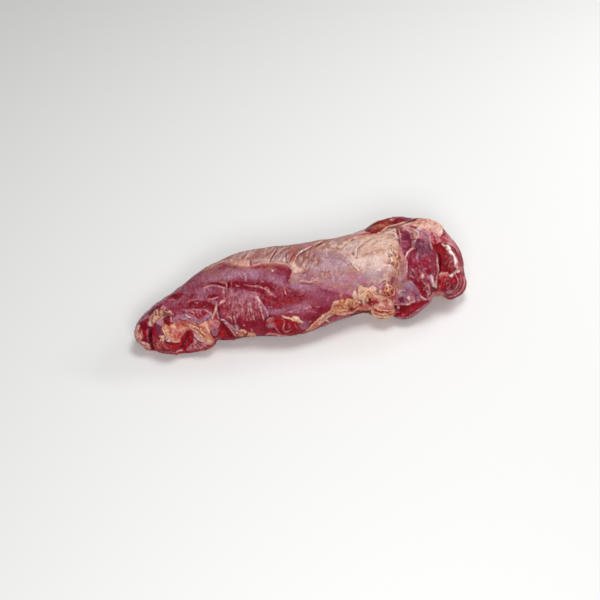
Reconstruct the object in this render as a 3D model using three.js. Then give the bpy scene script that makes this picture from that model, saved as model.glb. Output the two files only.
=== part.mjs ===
// A whole raw beef tenderloin lying on its flat underside.
// Millimetres, +Z up. X runs from the thin tail (-X) to the thick head (+X),
// +Y is the back, and the origin is under the middle of the piece, on the
// surface that it rests on.
//
// The meat is one piece, so it is one solid. Its form is a distance field: a
// long muscle of changing oval section, with the smaller muscles, folds and
// lumps of fat blended onto it by a smooth union, which leaves the creases
// between them. A capsule's skin is drawn in along its normals until it meets
// that field.
import * as THREE from "three";
import { mergeVertices } from "three/addons/utils/BufferGeometryUtils.js";

// ---- driving dimensions, mm --------------------------------------------
const TAIL_X = -184; // where the long muscle ends
const HEAD_X = 176;
const TAIL_CLOSE = 32; // length over which each end rounds off
const HEAD_CLOSE = 40;
const END_ROUND = 2.4; // superellipse power of that rounding
const SECTION_POWER = 2.35; // 2 is an ellipse, more is fuller
const AXIS_SHARE = 0.46; // height of the muscle's axis, as a share of its top
const SAG = 7; // how far the section would reach below the surface it lies on
const FOOT_BLEND = 6; // rounding where the flat underside begins
const SPINE_X = [-160, 150]; // the stretch that the skin is drawn in towards
const AROUND = 62; // facets round the section
const ALONG = 50; // rings between the ends
const CAP = 8; // rings on each end

// The long muscle: x, the section's middle y, half its width, its top z.
const STATIONS = [
  [-184, -7.9, 14.5, 30.2],
  [-165, -10.4, 22, 37.6],
  [-135, -3, 32.5, 47.3],
  [-100, 5.9, 42.4, 55.6],
  [-60, 6, 52.2, 63.6],
  [-20, 0.9, 58.4, 62.6],
  [20, -1.5, 49.9, 69.2],
  [60, -0.5, 43.6, 73],
  [98, -1.3, 51, 73.8],
  [116, 2, 48, 71.9],
  [140, 6, 41, 62],
  [166, 3, 30, 50],
];

// The smaller muscles and folds: centre, half sizes, turn about Z in degrees,
// and how softly each one blends into the rest.
const LOBES = [
  { what: "head muscle", at: [131.6, -9.6, 34.7], half: [24.2, 49.8, 40.4], turn: -9, soft: 6 },
  { what: "outer head muscle", at: [159, -12.2, 33.4], half: [25.3, 42, 28.4], turn: -13, soft: 6 },
  { what: "its shoulder at the back", at: [145.3, 21.8, 41.1], half: [33.1, 27.3, 26.3], turn: -10, soft: 7 },
  { what: "its rolled-under end", at: [166.7, -29.9, 20.3], half: [16.3, 15.9, 20.1], turn: 0, soft: 5 },
  { what: "side strap at the back of the head", at: [115.4, 40.9, 43.1], half: [34.7, 14.7, 21.8], turn: 4, soft: 4 },
  { what: "flap at the front of the head", at: [107.9, -41.9, 17.1], half: [22.5, 19.4, 17.9], turn: 12, soft: 6 },
  { what: "lump of fat in front", at: [82.6, -38.7, 19.8], half: [18.3, 18, 17.1], turn: 0, soft: 4 },
  { what: "belly of the front edge", at: [-24.4, -31, 18.1], half: [29.4, 11.5, 14.7], turn: 8, soft: 5 },
  { what: "small lap before the tail", at: [-88.8, -25.6, 14.2], half: [16.4, 9.8, 13.7], turn: -10, soft: 4 },
  { what: "tail fold, right", at: [-115.9, -26.4, 19.4], half: [19.3, 17.5, 19.1], turn: -25, soft: 4 },
  { what: "tail fold, middle", at: [-153, -21.9, 19.8], half: [17, 20.1, 22.3], turn: 10, soft: 4 },
  { what: "foot under the tail folds", at: [-132.8, -23.8, 10.1], half: [25.2, 18.2, 13], turn: -14, soft: 7 },
  { what: "tail tip", at: [-168.5, -10.8, 20.5], half: [20.4, 17, 18.7], turn: 22, soft: 6 },
  { what: "back of the tail", at: [-145.8, 0.9, 23.5], half: [32.7, 18.9, 20.6], turn: 20, soft: 8 },
  { what: "side strap, head third", at: [60, 44, 18], half: [46, 13, 15], turn: -3, soft: 5 },
  { what: "side strap, middle", at: [-20, 47, 16], half: [50, 12, 14], turn: 3, soft: 5 },
  { what: "side strap, tail third", at: [-95, 33, 15], half: [38, 14, 14], turn: 16, soft: 5 },
];

// ---- the field ----------------------------------------------------------
const rad = THREE.MathUtils.degToRad;
const clamp = THREE.MathUtils.clamp;

// A smooth minimum: two shapes melt together within k of each other.
function meet(a, b, k) {
  const h = Math.max(k - Math.abs(a - b), 0) / k;
  return Math.min(a, b) - h * h * k * 0.25;
}

// A monotone cubic through the stations' column c.
function profile(c) {
  const x = STATIONS.map((s) => s[0]);
  const y = STATIONS.map((s) => s[c]);
  const n = x.length;
  const h = [];
  const d = [];
  for (let i = 0; i < n - 1; i++) {
    h.push(x[i + 1] - x[i]);
    d.push((y[i + 1] - y[i]) / h[i]);
  }
  const endSlope = (h0, h1, d0, d1) => {
    const m = ((2 * h0 + h1) * d0 - h0 * d1) / (h0 + h1);
    if (m * d0 <= 0) return 0;
    return d0 * d1 <= 0 && Math.abs(m) > 3 * Math.abs(d0) ? 3 * d0 : m;
  };
  const m = [endSlope(h[0], h[1], d[0], d[1])];
  for (let i = 1; i < n - 1; i++) {
    if (d[i - 1] * d[i] <= 0) m.push(0);
    else {
      const w1 = 2 * h[i] + h[i - 1];
      const w2 = h[i] + 2 * h[i - 1];
      m.push((w1 + w2) / (w1 / d[i - 1] + w2 / d[i]));
    }
  }
  m.push(endSlope(h[n - 2], h[n - 3], d[n - 2], d[n - 3]));
  return (at) => {
    const q = clamp(at, x[0], x[n - 1]);
    let i = 0;
    while (i < n - 2 && q > x[i + 1]) i++;
    const t = (q - x[i]) / h[i];
    const t2 = t * t;
    const t3 = t2 * t;
    return (
      (2 * t3 - 3 * t2 + 1) * y[i] +
      (t3 - 2 * t2 + t) * h[i] * m[i] +
      (-2 * t3 + 3 * t2) * y[i + 1] +
      (t3 - t2) * h[i] * m[i + 1]
    );
  };
}
const middleY = profile(1);
const halfWidth = profile(2);
const topZ = profile(3);

function sectionGap(x, y, z) {
  const tail = clamp((TAIL_X + TAIL_CLOSE - x) / TAIL_CLOSE, 0, 0.9999);
  const head = clamp((x - (HEAD_X - HEAD_CLOSE)) / HEAD_CLOSE, 0, 0.9999);
  const close = Math.pow(
    1 - Math.pow(Math.max(tail, head), END_ROUND),
    1 / END_ROUND,
  );
  const top = topZ(x);
  const axis = top * AXIS_SHARE;
  const dy = y - middleY(x);
  const dz = z - axis;
  const a = halfWidth(x) * close;
  const b = (dz > 0 ? top - axis : axis + SAG) * close;
  const rho =
    Math.pow(
      Math.pow(Math.abs(dy / a), SECTION_POWER) +
        Math.pow(Math.abs(dz / b), SECTION_POWER),
      1 / SECTION_POWER,
    ) + 1e-9;
  const r = Math.hypot(dy, dz) + 1e-9;
  return r - r / rho;
}

function muscle(x, y, z) {
  const slope = (sectionGap(x + 1, y, z) - sectionGap(x - 1, y, z)) / 2;
  const past = Math.max(x - HEAD_X, 0) + Math.max(TAIL_X - x, 0);
  return sectionGap(x, y, z) / Math.sqrt(1 + slope * slope) + past;
}

function lobe(l, x, y, z) {
  const c = Math.cos(rad(l.turn));
  const s = Math.sin(rad(l.turn));
  const dx = x - l.at[0];
  const dy = y - l.at[1];
  const q = [c * dx + s * dy, -s * dx + c * dy, z - l.at[2]];
  const k0 = Math.hypot(...q.map((v, i) => v / l.half[i])) + 1e-9;
  const k1 = Math.hypot(...q.map((v, i) => v / l.half[i] ** 2)) + 1e-9;
  return (k0 * (k0 - 1)) / k1;
}

function meat(x, y, z) {
  let f = muscle(x, y, z);
  for (const l of LOBES) f = meet(f, lobe(l, x, y, z), l.soft);
  return -meet(-f, z, FOOT_BLEND); // nothing below the surface it lies on
}

// ---- the skin -----------------------------------------------------------
const REACH = 95;
const STEP = 2;
const ROUNDS = 14; // of evening out
const EASE = 0.5; // how far a point goes towards its neighbours, each round
const MOST = 4; // and how far it may step back onto the surface
const CORE = new THREE.Vector3();

// The outermost point of the meat from a point of its spine, one way.
function outermost(from, way) {
  const inside = (t) =>
    meat(from.x + way.x * t, from.y + way.y * t, from.z + way.z * t) < 0;
  let hi = REACH;
  while (hi > STEP && !inside(hi - STEP)) hi -= STEP;
  let lo = hi - STEP;
  for (let i = 0; i < 24; i++) {
    const mid = (lo + hi) / 2;
    if (inside(mid)) lo = mid;
    else hi = mid;
  }
  return (lo + hi) / 2;
}

// Which points each point of the skin is joined to.
function neighbours(g) {
  const near = Array.from({ length: g.getAttribute("position").count }, () => new Set());
  const corner = g.getIndex();
  for (let i = 0; i < corner.count; i += 3) {
    const [a, b, c] = [corner.getX(i), corner.getX(i + 1), corner.getX(i + 2)];
    near[a].add(b).add(c);
    near[b].add(c).add(a);
    near[c].add(a).add(b);
  }
  return near.map((s) => [...s]);
}

// Steps p onto the meat's surface, along the field's slope.
function settle(p) {
  const f = meat(p.x, p.y, p.z);
  const slope = new THREE.Vector3(
    meat(p.x + 0.2, p.y, p.z) - meat(p.x - 0.2, p.y, p.z),
    meat(p.x, p.y + 0.2, p.z) - meat(p.x, p.y - 0.2, p.z),
    meat(p.x, p.y, p.z + 0.2) - meat(p.x, p.y, p.z - 0.2),
  ).divideScalar(0.4);
  const reach = clamp(f / Math.max(slope.lengthSq(), 0.04), -MOST, MOST);
  return p.addScaledVector(slope, -reach);
}

// Evens the skin out, so its points lie well spread in the creases too.
function evenOut(g) {
  const p = g.getAttribute("position");
  const near = neighbours(g);
  let now = near.map((_, i) => new THREE.Vector3().fromBufferAttribute(p, i));
  for (let round = 0; round < ROUNDS; round++) {
    now = now.map((v, i) => {
      const middle = new THREE.Vector3();
      for (const j of near[i]) middle.add(now[j]);
      middle.divideScalar(near[i].length);
      return settle(v.clone().lerp(middle, EASE));
    });
  }
  for (let again = 0; again < 3; again++) now.forEach(settle);
  now.forEach((v, i) => p.setXYZ(i, v.x, v.y, v.z < 0.02 ? 0 : v.z));
}

function skin() {
  const g = new THREE.CapsuleGeometry(1, 2, CAP, AROUND, ALONG);
  g.deleteAttribute("normal");
  g.deleteAttribute("uv");
  const closed = mergeVertices(g, 1e-5);
  const p = closed.getAttribute("position");
  const way = new THREE.Vector3();
  for (let i = 0; i < p.count; i++) {
    // The capsule stands along its y, which becomes the meat's X.
    const along = clamp(p.getY(i), -1, 1);
    way.set(p.getY(i) - along, p.getZ(i), p.getX(i)).normalize();
    const x = THREE.MathUtils.mapLinear(along, -1, 1, SPINE_X[0], SPINE_X[1]);
    CORE.set(x, middleY(x), topZ(x) * AXIS_SHARE);
    const t = outermost(CORE, way);
    p.setXYZ(i, CORE.x + way.x * t, CORE.y + way.y * t, CORE.z + way.z * t);
  }
  evenOut(closed);
  return closed;
}

const shape = skin();
shape.computeBoundingBox();
const { min, max } = shape.boundingBox;
shape.translate(-(min.x + max.x) / 2, -(min.y + max.y) / 2, -min.z);

const tenderloin = new THREE.Mesh(
  shape,
  new THREE.MeshStandardMaterial({
    color: 0x8e2436,
    roughness: 0.38,
    metalness: 0,
  }),
);
tenderloin.name = "tenderloin";

const part = new THREE.Group();
part.add(tenderloin);

export default part;
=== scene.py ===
# The looks of a whole raw beef tenderloin lying on its flat underside.
# Blender 4.5. Metres in the scene; the shape is worked out in millimetres.
import math

import bpy
import numpy as np
from mathutils import Matrix, Vector
from mathutils.bvhtree import BVHTree


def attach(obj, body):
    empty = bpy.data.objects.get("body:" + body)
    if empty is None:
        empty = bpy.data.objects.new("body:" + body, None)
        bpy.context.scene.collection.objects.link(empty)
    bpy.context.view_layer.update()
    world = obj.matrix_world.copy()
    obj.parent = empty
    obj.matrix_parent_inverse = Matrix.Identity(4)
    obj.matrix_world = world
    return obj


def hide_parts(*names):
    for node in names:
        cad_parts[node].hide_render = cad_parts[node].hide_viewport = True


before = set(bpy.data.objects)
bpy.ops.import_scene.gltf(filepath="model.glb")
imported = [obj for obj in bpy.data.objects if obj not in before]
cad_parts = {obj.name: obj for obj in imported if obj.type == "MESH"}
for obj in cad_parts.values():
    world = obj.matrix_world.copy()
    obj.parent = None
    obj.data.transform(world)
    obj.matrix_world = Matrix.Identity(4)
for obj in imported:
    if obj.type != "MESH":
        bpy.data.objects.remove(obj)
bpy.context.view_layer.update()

# ---- camera: millimetres in the solid's frame, pixels of a 600 px frame ----
AZIMUTH, ELEVATION, AWAY = math.radians(-16), math.radians(45), 1550.0
LENS, SENSOR, FRAME_PX = 85.0, 36.0, 600.0
SHIFT = np.array([1.266, 0.684, 0.0])  # from the field's numbers to the solid's own frame
LOOK_AT = np.array([0.0, 0.0, 36.0])  # this point of the field lands on LOOK_PX
LOOK_PX = (300.0, 283.0)
FOCAL_PX = LENS / SENSOR * FRAME_PX
MM_PX = AWAY / FOCAL_PX
BACK = np.array([
    math.sin(AZIMUTH) * math.cos(ELEVATION),
    -math.cos(AZIMUTH) * math.cos(ELEVATION),
    math.sin(ELEVATION),
])
RIGHT = np.array([math.cos(AZIMUTH), math.sin(AZIMUTH), 0.0])
UP = np.cross(BACK, RIGHT)
TARGET = (
    LOOK_AT
    - RIGHT * (LOOK_PX[0] - 300.0) * MM_PX
    + UP * (LOOK_PX[1] - 300.0) * MM_PX
)
EYE = TARGET + BACK * AWAY


def to_px(p):
    """Photograph pixels of points in the field's millimetres."""
    d = p - EYE
    deep = -(d @ BACK)
    return np.stack([
        300.0 + (d @ RIGHT) / deep * FOCAL_PX,
        300.0 - (d @ UP) / deep * FOCAL_PX,
    ], -1)


def px_ray(q):
    """Unit directions from the camera through pixels q."""
    q = np.asarray(q, float)
    d = (
        -BACK
        + RIGHT * ((q[..., :1] - 300.0) / FOCAL_PX)
        + UP * ((300.0 - q[..., 1:2]) / FOCAL_PX)
    )
    return d / np.linalg.norm(d, axis=-1, keepdims=True)


# ---- the form: the same long muscle and lobes as the solid ----------------
TAIL_X, HEAD_X, TAIL_CLOSE, HEAD_CLOSE = -184.0, 176.0, 32.0, 40.0
END_ROUND, POWER, AXIS_SHARE, SAG, FOOT = 2.4, 2.35, 0.46, 7.0, 6.0
STATIONS = np.array([
    [-184, -7.9, 14.5, 30.2],
    [-165, -10.4, 22, 37.6],
    [-135, -3, 32.5, 47.3],
    [-100, 5.9, 42.4, 55.6],
    [-60, 6, 52.2, 63.6],
    [-20, 0.9, 58.4, 62.6],
    [20, -1.5, 49.9, 69.2],
    [60, -0.5, 43.6, 73],
    [98, -1.3, 51, 73.8],
    [116, 2, 48, 71.9],
    [140, 6, 41, 62],
    [166, 3, 30, 50],
], float)
LOBES = [  # centre, half sizes, turn about Z, softness
    ("head", (131.6, -9.6, 34.7), (24.2, 49.8, 40.4), -9, 6),
    ("outer", (159, -12.2, 33.4), (25.3, 42, 28.4), -13, 6),
    ("shoulder", (145.3, 21.8, 41.1), (33.1, 27.3, 26.3), -10, 7),
    ("rolled_end", (166.7, -29.9, 20.3), (16.3, 15.9, 20.1), 0, 5),
    ("strap_head", (115.4, 40.9, 43.1), (34.7, 14.7, 21.8), 4, 4),
    ("flap", (107.9, -41.9, 17.1), (22.5, 19.4, 17.9), 12, 6),
    ("fat_lump", (82.6, -38.7, 19.8), (18.3, 18, 17.1), 0, 4),
    ("belly", (-24.4, -31, 18.1), (29.4, 11.5, 14.7), 8, 5),
    ("lap", (-88.8, -25.6, 14.2), (16.4, 9.8, 13.7), -10, 4),
    ("fold_right", (-115.9, -26.4, 19.4), (19.3, 17.5, 19.1), -25, 4),
    ("fold_middle", (-153, -21.9, 19.8), (17, 20.1, 22.3), 10, 4),
    ("fold_base", (-132.8, -23.8, 10.1), (25.2, 18.2, 13), -14, 7),
    ("tip", (-168.5, -10.8, 20.5), (20.4, 17, 18.7), 22, 6),
    ("tail_back", (-145.8, 0.9, 23.5), (32.7, 18.9, 20.6), 20, 8),
    ("strap_1", (60, 44, 18), (46, 13, 15), -3, 5),
    ("strap_2", (-20, 47, 16), (50, 12, 14), 3, 5),
    ("strap_3", (-95, 33, 15), (38, 14, 14), 16, 5),
]


def monotone(x, y, q):
    """A monotone cubic through x, y at q."""
    h = np.diff(x)
    d = np.diff(y) / h
    m = np.zeros(len(x))
    for i in range(1, len(x) - 1):
        if d[i - 1] * d[i] > 0:
            w1, w2 = 2 * h[i] + h[i - 1], h[i] + 2 * h[i - 1]
            m[i] = (w1 + w2) / (w1 / d[i - 1] + w2 / d[i])

    def end(h0, h1, d0, d1):
        v = ((2 * h0 + h1) * d0 - h0 * d1) / (h0 + h1)
        if v * d0 <= 0:
            return 0.0
        return 3 * d0 if d0 * d1 <= 0 and abs(v) > 3 * abs(d0) else v

    m[0], m[-1] = end(h[0], h[1], d[0], d[1]), end(h[-1], h[-2], d[-1], d[-2])
    q = np.clip(q, x[0], x[-1])
    i = np.clip(np.searchsorted(x, q, side="right") - 1, 0, len(x) - 2)
    t = (q - x[i]) / h[i]
    return (
        (2 * t**3 - 3 * t**2 + 1) * y[i]
        + (t**3 - 2 * t**2 + t) * h[i] * m[i]
        + (-2 * t**3 + 3 * t**2) * y[i + 1]
        + (t**3 - t**2) * h[i] * m[i + 1]
    )


TABLE_X = np.arange(-200.0, 200.01, 0.25)
TABLE = [monotone(STATIONS[:, 0], STATIONS[:, c], TABLE_X) for c in (1, 2, 3)]


def middle_y(x):
    return np.interp(x, TABLE_X, TABLE[0])


def half_width(x):
    return np.interp(x, TABLE_X, TABLE[1])


def top_z(x):
    return np.interp(x, TABLE_X, TABLE[2])


def meet(a, b, k):
    h = np.maximum(k - np.abs(a - b), 0) / k
    return np.minimum(a, b) - h * h * k * 0.25


def section_gap(x, y, z):
    t = np.maximum(
        np.clip((TAIL_X + TAIL_CLOSE - x) / TAIL_CLOSE, 0, 0.9999),
        np.clip((x - (HEAD_X - HEAD_CLOSE)) / HEAD_CLOSE, 0, 0.9999),
    )
    close = (1 - t**END_ROUND) ** (1 / END_ROUND)
    top = top_z(x)
    axis = top * AXIS_SHARE
    dy, dz = y - middle_y(x), z - axis
    a = half_width(x) * close
    b = np.where(dz > 0, top - axis, axis + SAG) * close
    rho = (np.abs(dy / a) ** POWER + np.abs(dz / b) ** POWER) ** (1 / POWER) + 1e-9
    r = np.sqrt(dy * dy + dz * dz) + 1e-9
    return r - r / rho


def muscle(x, y, z):
    slope = (section_gap(x + 1, y, z) - section_gap(x - 1, y, z)) / 2
    past = np.maximum(x - HEAD_X, 0) + np.maximum(TAIL_X - x, 0)
    return section_gap(x, y, z) / np.sqrt(1 + slope * slope) + past


def lobe_gap(at, half, turn, x, y, z):
    c, s = math.cos(math.radians(turn)), math.sin(math.radians(turn))
    dx, dy, dz = x - at[0], y - at[1], z - at[2]
    u, v = c * dx + s * dy, -s * dx + c * dy
    k0 = np.sqrt((u / half[0]) ** 2 + (v / half[1]) ** 2 + (dz / half[2]) ** 2) + 1e-9
    k1 = np.sqrt(
        (u / half[0] ** 2) ** 2 + (v / half[1] ** 2) ** 2 + (dz / half[2] ** 2) ** 2
    ) + 1e-9
    return k0 * (k0 - 1) / k1


def meat(p, parts=False):
    """The field, under 0 inside. With parts, each shape's own gap as well."""
    x, y, z = p[:, 0], p[:, 1], p[:, 2]
    gaps = [muscle(x, y, z)]
    f = gaps[0]
    for _, at, half, turn, soft in LOBES:
        g = lobe_gap(at, half, turn, x, y, z)
        gaps.append(g)
        f = meet(f, g, soft)
    f = -meet(-f, z, FOOT)
    return (f, np.stack(gaps, 1)) if parts else f


# ---- smooth noise, seeded -------------------------------------------------
def lattice_noise(p, size, seed, octaves=1, gain=0.5):
    """Value noise between -1 and 1 at points p, with cells of that size."""
    total, amp, norm = np.zeros(len(p)), 1.0, 0.0
    for o in range(octaves):
        rng = np.random.default_rng(seed * 101 + o)
        cells = rng.uniform(-1, 1, 32768)
        q = p / (size / 2**o) + 1000.0
        i = np.floor(q).astype(np.int64)
        f = q - i
        f = f * f * f * (f * (f * 6 - 15) + 10)
        acc = np.zeros(len(p))
        for c in range(8):
            b = np.array([c & 1, (c >> 1) & 1, (c >> 2) & 1])
            j = i + b
            key = (j[:, 0] * 73856093) ^ (j[:, 1] * 19349663) ^ (j[:, 2] * 83492791)
            w = np.prod(np.where(b, f, 1 - f), axis=1)
            acc += w * cells[key & 32767]
        total += acc * amp
        norm += amp
        amp *= gain
    return total / norm


# ---- the skin: surface nets on a grid, laid back on the field --------------
SPACING = 2.2


def skin(h):
    lo, hi = np.array([-192.0, -68.0, -4.4]), np.array([192.0, 68.0, 82.0])  # Z = 0 lies between two layers
    n = (np.ceil((hi - lo) / (4 * h)).astype(int)) * 4
    block = n // 4
    ax = [lo[k] + (np.arange(block[k]) + 0.5) * 4 * h for k in range(3)]
    g = np.stack(np.meshgrid(*ax, indexing="ij"), -1).reshape(-1, 3)
    near = (np.abs(meat(g)) < 4 * h * 1.6).reshape(block)
    inside = (meat(g) < 0).reshape(block)
    fine = np.repeat(np.repeat(np.repeat(near, 4, 0), 4, 1), 4, 2)
    f = np.where(np.repeat(np.repeat(np.repeat(inside, 4, 0), 4, 1), 4, 2), -9.0, 9.0)
    idx = np.argwhere(fine)
    f[fine] = meat(lo + (idx + 0.5) * h)
    s = f < 0
    corner = np.stack([
        s[a : s.shape[0] - 1 + a, b : s.shape[1] - 1 + b, c : s.shape[2] - 1 + c]
        for a in (0, 1) for b in (0, 1) for c in (0, 1)
    ])
    count = corner.sum(0)
    cell = (count > 0) & (count < 8)
    number = -np.ones(cell.shape, int)
    at = np.argwhere(cell)
    number[cell] = np.arange(len(at))
    total, hits = np.zeros((len(at), 3)), np.zeros(len(at))
    for a, b in (
        ((0, 0, 0), (1, 0, 0)), ((0, 1, 0), (1, 1, 0)), ((0, 0, 1), (1, 0, 1)), ((0, 1, 1), (1, 1, 1)),
        ((0, 0, 0), (0, 1, 0)), ((1, 0, 0), (1, 1, 0)), ((0, 0, 1), (0, 1, 1)), ((1, 0, 1), (1, 1, 1)),
        ((0, 0, 0), (0, 0, 1)), ((1, 0, 0), (1, 0, 1)), ((0, 1, 0), (0, 1, 1)), ((1, 1, 0), (1, 1, 1)),
    ):
        a, b = np.array(a), np.array(b)
        fa, fb = f[tuple((at + a).T)], f[tuple((at + b).T)]
        cross = (fa < 0) != (fb < 0)
        t = np.where(cross, fa / np.where(cross, fa - fb, 1), 0)
        total += np.where(cross[:, None], a + (b - a) * t[:, None], 0)
        hits += cross
    v = lo + (at + total / hits[:, None] + 0.5) * h
    quads = []
    for k in range(3):
        step = [0, 0, 0]
        step[k] = 1
        a = s[: s.shape[0] - step[0], : s.shape[1] - step[1], : s.shape[2] - step[2]]
        b = s[step[0]:, step[1]:, step[2]:]
        e = np.argwhere(a != b)
        e = e[np.all(e > 0, axis=1) & np.all(e < np.array(cell.shape), axis=1)]
        out = a[tuple(e.T)]
        i, j = [m for m in range(3) if m != k]
        di, dj = np.zeros(3, int), np.zeros(3, int)
        di[i], dj[j] = 1, 1
        q = np.stack([
            number[tuple(e.T)], number[tuple((e - di).T)],
            number[tuple((e - di - dj).T)], number[tuple((e - dj).T)],
        ], 1)
        if k == 1:
            out = ~out
        q[~out] = q[~out][:, ::-1]
        quads.append(q)
    quads = np.concatenate(quads)
    return v, quads


def slope(p, e=0.25):
    g = np.empty_like(p)
    for k in range(3):
        d = np.zeros(3)
        d[k] = e
        g[:, k] = (meat(p + d) - meat(p - d)) / (2 * e)
    return g


def settle(p, most=1.5):
    g = slope(p)
    s = np.clip(meat(p) / np.maximum((g * g).sum(1), 0.05), -most, most)
    return p - g * s[:, None]


def edges_of(faces):
    e = np.concatenate([faces[:, [k, (k + 1) % faces.shape[1]]] for k in range(faces.shape[1])])
    e = np.sort(e, 1)
    return np.unique(e, axis=0)


def even(p, e, share, rounds=1):
    """Moves each point towards the middle of its neighbours."""
    deg = np.bincount(e.ravel(), minlength=len(p)).astype(float)
    for _ in range(rounds):
        m = np.empty_like(p)
        for k in range(p.shape[1]):
            m[:, k] = (
                np.bincount(e[:, 0], p[e[:, 1], k], len(p))
                + np.bincount(e[:, 1], p[e[:, 0], k], len(p))
            ) / deg
        p = p + (m - p) * share
    return p


def normals_of(p, quads):
    a = p[quads[:, 2]] - p[quads[:, 0]]
    b = p[quads[:, 3]] - p[quads[:, 1]]
    n = np.cross(a, b)
    out = np.zeros_like(p)
    for k in range(3):
        for c in range(4):
            out[:, k] += np.bincount(quads[:, c], n[:, k], len(p))
    return out / np.maximum(np.linalg.norm(out, axis=1, keepdims=True), 1e-12)


# ---- what is painted on the skin -------------------------------------------
# A small palette. The letter is what the colour is made of: m muscle, f fat,
# s silverskin, w a thin pale membrane; the w colours white, blush and pink also paint glints and highlights, and white
# is mostly painted glint.
PALETTE = {
    "muscle": ("#8d4154", "m"), "mauve": ("#9b6072", "m"), "lilac": ("#ae8094", "m"),
    "wine": ("#7c2235", "m"), "blood": ("#78141f", "m"), "cherry": ("#951c2b", "m"),
    "scarlet": ("#a92427", "m"), "dark": ("#520a12", "m"), "black": ("#3c080e", "m"),
    "plum": ("#6f3448", "m"), "slate": ("#8a5c6e", "m"), "maroon": ("#6c1a20", "m"),
    "brick": ("#98343b", "m"),
    "rose": ("#a9706a", "s"), "pearl": ("#c4a59e", "s"), "ivory": ("#d0b29a", "s"),
    "pale": ("#d4c0b6", "s"), "haze": ("#ae92a0", "s"), "tan": ("#a87868", "s"),
    "umber": ("#84544c", "s"), "dusk": ("#9a7a80", "s"), "bone": ("#d7c0b0", "s"),
    "mist": ("#b8a0a2", "s"), "fawn": ("#a47a6c", "s"), "clay": ("#9c645c", "s"),
    "cream": ("#e2b894", "f"), "butter": ("#d2a076", "f"), "ochre": ("#c0804a", "f"),
    "apricot": ("#c4785a", "f"), "rust": ("#93402c", "f"), "salmon": ("#bb5e54", "f"),
    "sand": ("#b98a72", "f"), "ember": ("#8c2a1c", "f"), "brown": ("#74402e", "f"),
    "blush": ("#d49a9a", "w"), "white": ("#ead2d0", "w"), "pink": ("#b87884", "w"),
    "gold": ("#deb494", "w"), "shell": ("#d6a08c", "f"),
}
MARKS = []
WET = []  # where the surface shines: x, y, half sizes, turn, how much


def area(colour, points, soft=1.2, rough=0.8, a=1.0, h=0.0, rim=1.5):
    """A closed outline in photograph pixels. h raises it, in millimetres, over rim pixels from its edge."""
    MARKS.append(("area", colour, points, dict(soft=soft, rough=rough, a=a, h=h, rim=rim)))


def line(colour, points, w, a=1.0, h=0.0, hw=None, soft=0.9, rough=0.25, taper=1.0):
    """A stroke w pixels wide. h raises or sinks it over hw pixels."""
    MARKS.append(("line", colour, points, dict(w=w, soft=soft, rough=rough, a=a, h=h, hw=hw or w, taper=taper)))


def spot(colour, x, y, rx, ry=None, turn=0, a=1.0, h=0.0, rough=0.5, hard=0.0):
    """A soft dab, or a hard-edged one."""
    MARKS.append(("spot", colour, [(x, y)], dict(rx=rx, ry=ry or rx, turn=turn, a=a, h=h, rough=rough, hard=hard)))


def streaks(colour, points, count, lean, length, w, seed, a=0.5, h=0.0):
    """Many short strokes in an outline, leaning dx for each dy of -1."""
    rng = np.random.default_rng(seed)
    o = np.array(points, float)
    lo, hi = o.min(0), o.max(0)
    made = 0
    while made < count:
        p = rng.uniform(lo, hi)
        if inside_of(p[None], o)[0]:
            k = lean + rng.normal(0, 0.12)
            d = np.array([k, -1.0]) / math.hypot(k, 1.0)
            n = length * rng.uniform(0.5, 1.4)
            b = rng.normal(0, 0.35)
            q = [p - d * n / 2, p + (b, 0), p + d * n / 2]
            line(colour, [tuple(v) for v in q], w * rng.uniform(0.6, 1.4), a * rng.uniform(0.5, 1.2), h)
            made += 1


def specks(colour, points, count, size, seed, a=0.5, h=0.0):
    """Many small dabs in an outline."""
    rng = np.random.default_rng(seed)
    o = np.array(points, float)
    lo, hi = o.min(0), o.max(0)
    made = 0
    if colour in ("blush", "pink"):
        a *= 0.75
    while made < count:
        x, y = rng.uniform(lo, hi)
        if inside_of(np.array([[x, y]]), o)[0]:
            r = size * rng.uniform(0.45, 1.0)
            spot(colour, x, y, r, r * rng.uniform(0.5, 1.0), rng.uniform(0, 180), a * rng.uniform(0.5, 1.2), h)
            made += 1


def shine(x, y, rx, ry, turn=0, a=1.0):
    """A wetter patch."""
    WET.append((x, y, rx, ry, math.radians(turn), a))


def inside_of(q, o):
    x, y = q[:, 0], q[:, 1]
    hit = np.zeros(len(q), bool)
    for (x0, y0), (x1, y1) in zip(o, np.roll(o, -1, 0)):
        if y0 != y1:
            k = (y0 > y) != (y1 > y)
            hit ^= k & (x < (x1 - x0) * (y - y0) / (y1 - y0) + x0)
    return hit


def smooth_path(points, closed, n=4):
    """Catmull-Rom through the points."""
    p = np.array(points, float)
    if len(p) < 3:
        return p
    if closed:
        p = np.concatenate([p[-1:], p, p[:2]])
    else:
        p = np.concatenate([2 * p[:1] - p[1:2], p, 2 * p[-1:] - p[-2:-1]])
    out = []
    for a, b, c, d in zip(p[:-3], p[1:-2], p[2:-1], p[3:]):
        for t in np.arange(n) / n:
            out.append(0.5 * (2 * b + (c - a) * t + (2 * a - 5 * b + 4 * c - d) * t * t + (3 * b - a - 3 * c + d) * t**3))
    if not closed:
        out.append(p[-2])
    return np.array(out)


def path_gap(q, path, closed):
    """Distance to a path, and how far along it, 0 to 1."""
    ends = np.roll(path, -1, 0) if closed else path[1:]
    starts = path if closed else path[:-1]
    best, along = np.full(len(q), 1e9), np.zeros(len(q))
    for k, (a, b) in enumerate(zip(starts, ends)):
        ab = b - a
        t = np.clip(((q - a) @ ab) / max(ab @ ab, 1e-9), 0, 1)
        d = np.hypot(*(q - a - t[:, None] * ab).T)
        near = d < best
        best = np.where(near, d, best)
        along = np.where(near, (k + t) / len(starts), along)
    return best, along


def ramp(v, a, b):
    t = np.clip((v - a) / (b - a), 0, 1)
    return t * t * (3 - 2 * t)


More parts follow.
